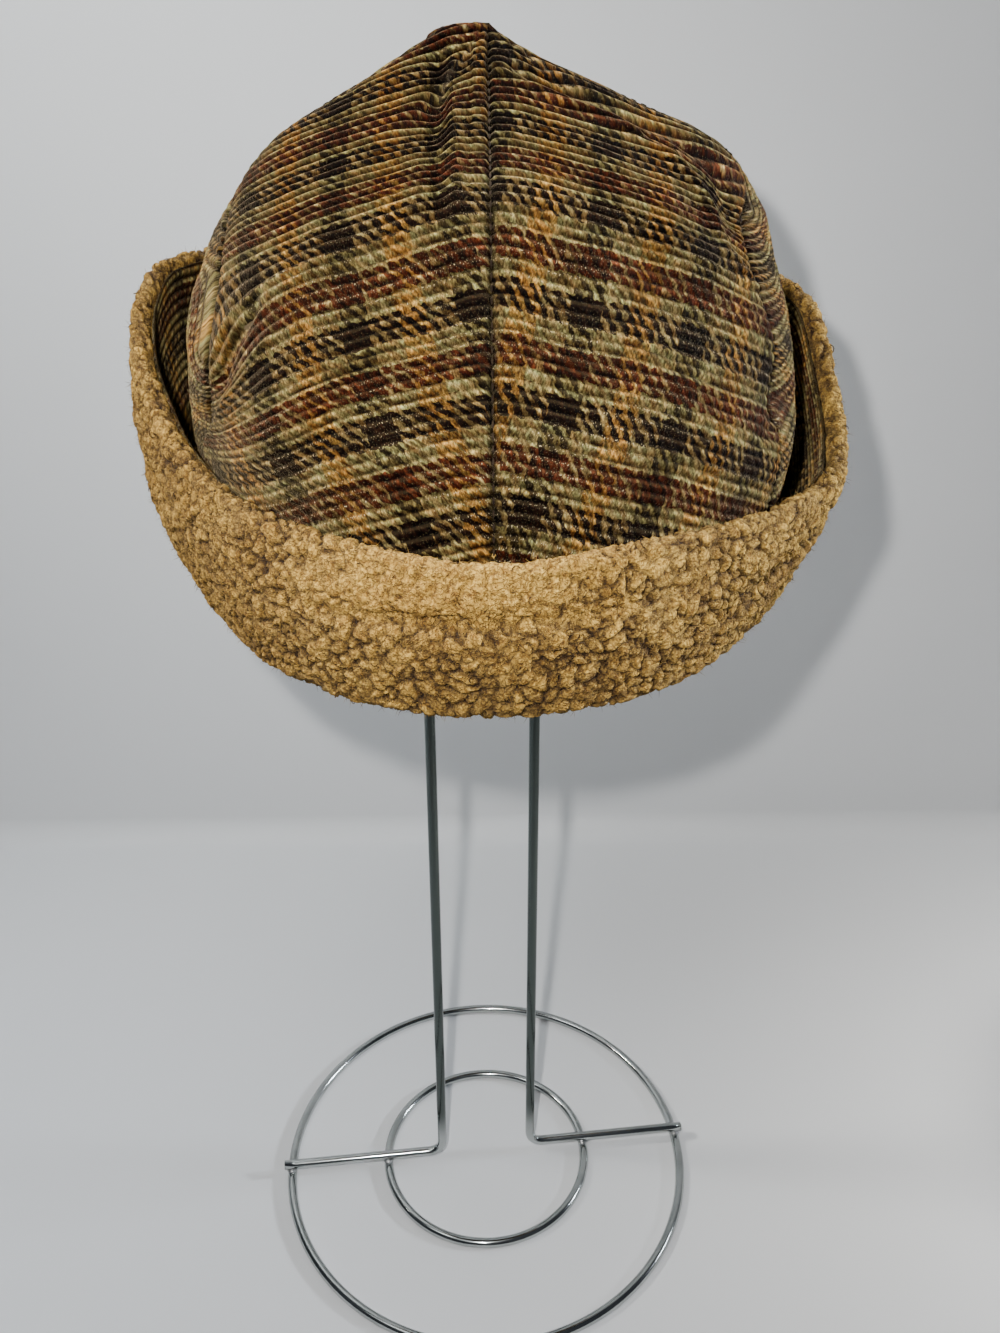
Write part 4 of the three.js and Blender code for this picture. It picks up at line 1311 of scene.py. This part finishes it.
def tube(path, radius, sides, closed=False, up=(0, 0, 1)):
    """Points and faces of a round wire along a path that never runs the way of up."""
    ahead = np.roll(path, -1, 0) - np.roll(path, 1, 0) if closed else np.gradient(path, axis=0)
    ahead /= np.linalg.norm(ahead, axis=1, keepdims=True)
    side = np.cross(ahead, up)
    side /= np.linalg.norm(side, axis=1, keepdims=True)
    over = np.cross(side, ahead)
    turn = np.arange(sides) * math.tau / sides
    ring = side[:, None] * np.cos(turn)[:, None] + over[:, None] * np.sin(turn)[:, None]
    points = (path[:, None] + radius * ring).reshape(-1, 3)
    faces = np.roll(grid_faces(len(path), sides, wrap=True, loop=closed, flip=True), 1, axis=1)
    if not closed:
        end = (len(path) - 1) * sides
        caps = [cap for k in range(1, sides - 1)
                for cap in ((0, k, k + 1, k + 1), (end, end + k + 1, end + k, end + k))]
        faces = np.concatenate([faces, caps])
    return points, faces


def bezier(points, steps):
    """Points along the curve of any number of control points."""
    share = np.linspace(0, 1, steps)[:, None]
    while len(points) > 1:
        points = [a + (np.array(b) - a) * share for a, b in zip(points, points[1:])]
    return points[0]


def stand_route():
    """Half of the frame's wire, from a foot's tip up to the top of the hoop, as (sideways, up) in mm."""
    tip = STAND_RUNS[0][1]
    runs = [bezier(points, steps)[1:] for steps, *points in STAND_RUNS]
    arch = np.linspace(0, math.pi / 2, 30)[1:]
    sideways, up = STAND_RUNS[-1][-1]
    return np.concatenate([[tip], *runs, join(sideways * np.cos(arch), up + HOOP_RISE * np.sin(arch))])


class CAP_OT_stand(Operator):
    """Make the chrome wire stand and its welds"""

    bl_idname = "cap.stand"
    bl_label = "Wire stand"

    def execute(self, context):
        settings = context.scene.cap_stand
        chrome = chrome_wire()
        radius = settings.wire / 2
        axis_x, axis_y = stand_axis()
        turn = np.arange(200) * math.tau / 200
        for name, reach in RING_RADII:
            ring = join(axis_x + reach * MM * np.cos(turn), axis_y + reach * MM * np.sin(turn), radius)
            piece = mesh_piece("wire_" + name, *tube(ring, radius, settings.sides, closed=True), [chrome])
            settle(piece, "chrome_wire", name)
        half = stand_route()
        sideways, up = np.concatenate([half, (half * (-1, 1))[-2::-1]]).T
        back = (-math.sin(STAND_TURN), math.cos(STAND_TURN), 0)
        wire = tube(on_stand(sideways, 0, up), radius, settings.sides, up=back)
        settle(mesh_piece("wire_stand_frame", *wire, [chrome]), "chrome_wire", "stand_frame")
        self.welds()
        return {"FINISHED"}

    def welds(self):
        """A small flattened bead on each side of the foot wire where it crosses a ring."""
        points, faces = [], []
        turn = np.arange(20) * math.tau / 20
        level = np.linspace(-0.5 * math.pi, 0.5 * math.pi, 9)[:, None]
        for _, reach in RING_RADII:
            for side in (-1, 1):
                swell = 1 + 0.10 * np.sin(3 * turn + reach) + 0.06 * np.sin(7 * turn + side)
                wide = WELD_RADIUS * np.cos(level) * swell
                bead = on_stand(side * reach + wide * np.cos(turn), wide * np.sin(turn),
                                WELD_Z + WELD_RISE * np.sin(level))
                faces.append(grid_faces(9, 20, wrap=True, start=sum(map(len, points))))
                points.append(bead.reshape(-1, 3))
        piece = mesh_piece("wire_welds", np.concatenate(points), np.concatenate(faces), [weld_metal()])
        settle(piece, "chrome_wire")


# ---- Stage

class CAP_OT_stage(Operator):
    """Make the floor, the backdrop, the lights and the camera"""

    bl_idname = "cap.stage"
    bl_label = "Stage"

    def execute(self, context):
        self.floor()
        self.lights(context)
        self.camera(context)
        return {"FINISHED"}

    def floor(self):
        """A sheet that bends up into a wall, and the floor behind it."""
        bend = np.linspace(0, math.pi / 2, 24)
        wall = BEND_START + BEND_RADIUS
        depth = np.concatenate([[-1.6, -0.5, 0.0], BEND_START + BEND_RADIUS * np.sin(bend), [wall, wall]])
        height = np.concatenate([[0, 0, 0], BEND_RADIUS - BEND_RADIUS * np.cos(bend), [0.8, 2.2]])
        sheet = join(np.linspace(-FLOOR_REACH, FLOOR_REACH, 12), depth[:, None], height[:, None])
        behind = join([-FLOOR_REACH, FLOOR_REACH], np.array([[BEND_START], [2.0]]), 0.0)
        surface = pale_surface()
        for name, points in (("floor", sheet), ("floor_behind", behind)):
            mesh_piece(name, points.reshape(-1, 3), grid_faces(*points.shape[:2]), [surface])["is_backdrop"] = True

    def lights(self, context):
        for name, place, target, size, spread, power, colour in LAMPS:
            lamp = bpy.data.lights.new(name, "AREA")
            lamp.size = size
            lamp.spread = math.radians(spread)
            lamp.energy = power
            lamp.color = colour
            carrier = add_object(name, lamp)
            carrier.location = place
            aim = Vector(target) - Vector(place)
            carrier.rotation_euler = aim.to_track_quat("-Z", "Y").to_euler()
        world = bpy.data.worlds.new("soft room")
        world.use_nodes = True
        background = world.node_tree.nodes["Background"]
        background.inputs["Color"].default_value = (0.80, 0.87, 1.0, 1)
        background.inputs["Strength"].default_value = 0.065
        context.scene.world = world

    def camera(self, context):
        settings = context.scene.cap_stage
        lens = bpy.data.cameras.new("camera")
        lens.sensor_fit = "VERTICAL"
        lens.sensor_height = 36.0
        lens.lens = settings.lens
        axis_x, axis_y = stand_axis()
        carrier = add_object("camera", lens)
        carrier.location = (axis_x, axis_y - settings.camera_distance, settings.camera_height)
        carrier.rotation_euler = (math.pi / 2 - settings.camera_fall, 0.0, -settings.camera_turn)
        context.scene.camera = carrier


# The settings of each part of the cap, and the operators that use them, in the order they run.
STEPS = (
    ("cap_corduroy", CorduroySettings, ("cap.crown", "cap.stitches", "cap.facing")),
    ("cap_fleece", FleeceSettings, ("cap.fleece",)),
    ("cap_stand", StandSettings, ("cap.stand",)),
    ("cap_stage", StageSettings, ("cap.stage",)),
)


class CAP_PT_panel(Panel):
    bl_label = "Corduroy cap"
    bl_idname = "CAP_PT_panel"
    bl_space_type = "VIEW_3D"
    bl_region_type = "UI"
    bl_category = "Cap"

    def draw(self, context):
        for group, kind, operators in STEPS:
            box = self.layout.box()
            for name in kind.__annotations__:
                box.prop(getattr(context.scene, group), name)
            for operator in operators:
                box.operator(operator)


CLASSES = (CorduroySettings, FleeceSettings, StandSettings, StageSettings, CAP_OT_crown, CAP_OT_stitches,
           CAP_OT_facing, CAP_OT_fleece, CAP_OT_stand, CAP_OT_stage, CAP_PT_panel)


def register():
    for cls in CLASSES:
        bpy.utils.register_class(cls)
    for name, kind, _ in STEPS:
        setattr(bpy.types.Scene, name, PointerProperty(type=kind))


def unregister():
    for name, _, _ in STEPS:
        delattr(bpy.types.Scene, name)
    for cls in reversed(CLASSES):
        bpy.utils.unregister_class(cls)


def main():
    register()
    for _, _, operators in STEPS:
        for operator in operators:
            group, name = operator.split(".")
            getattr(getattr(bpy.ops, group), name)()
    sizes = {"cad": FRAME_BOUNDS, "visual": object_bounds()}
    {key: [list(corner) for corner in pair] for key, pair in sizes.items()}


if __name__ == "__main__":
    main()
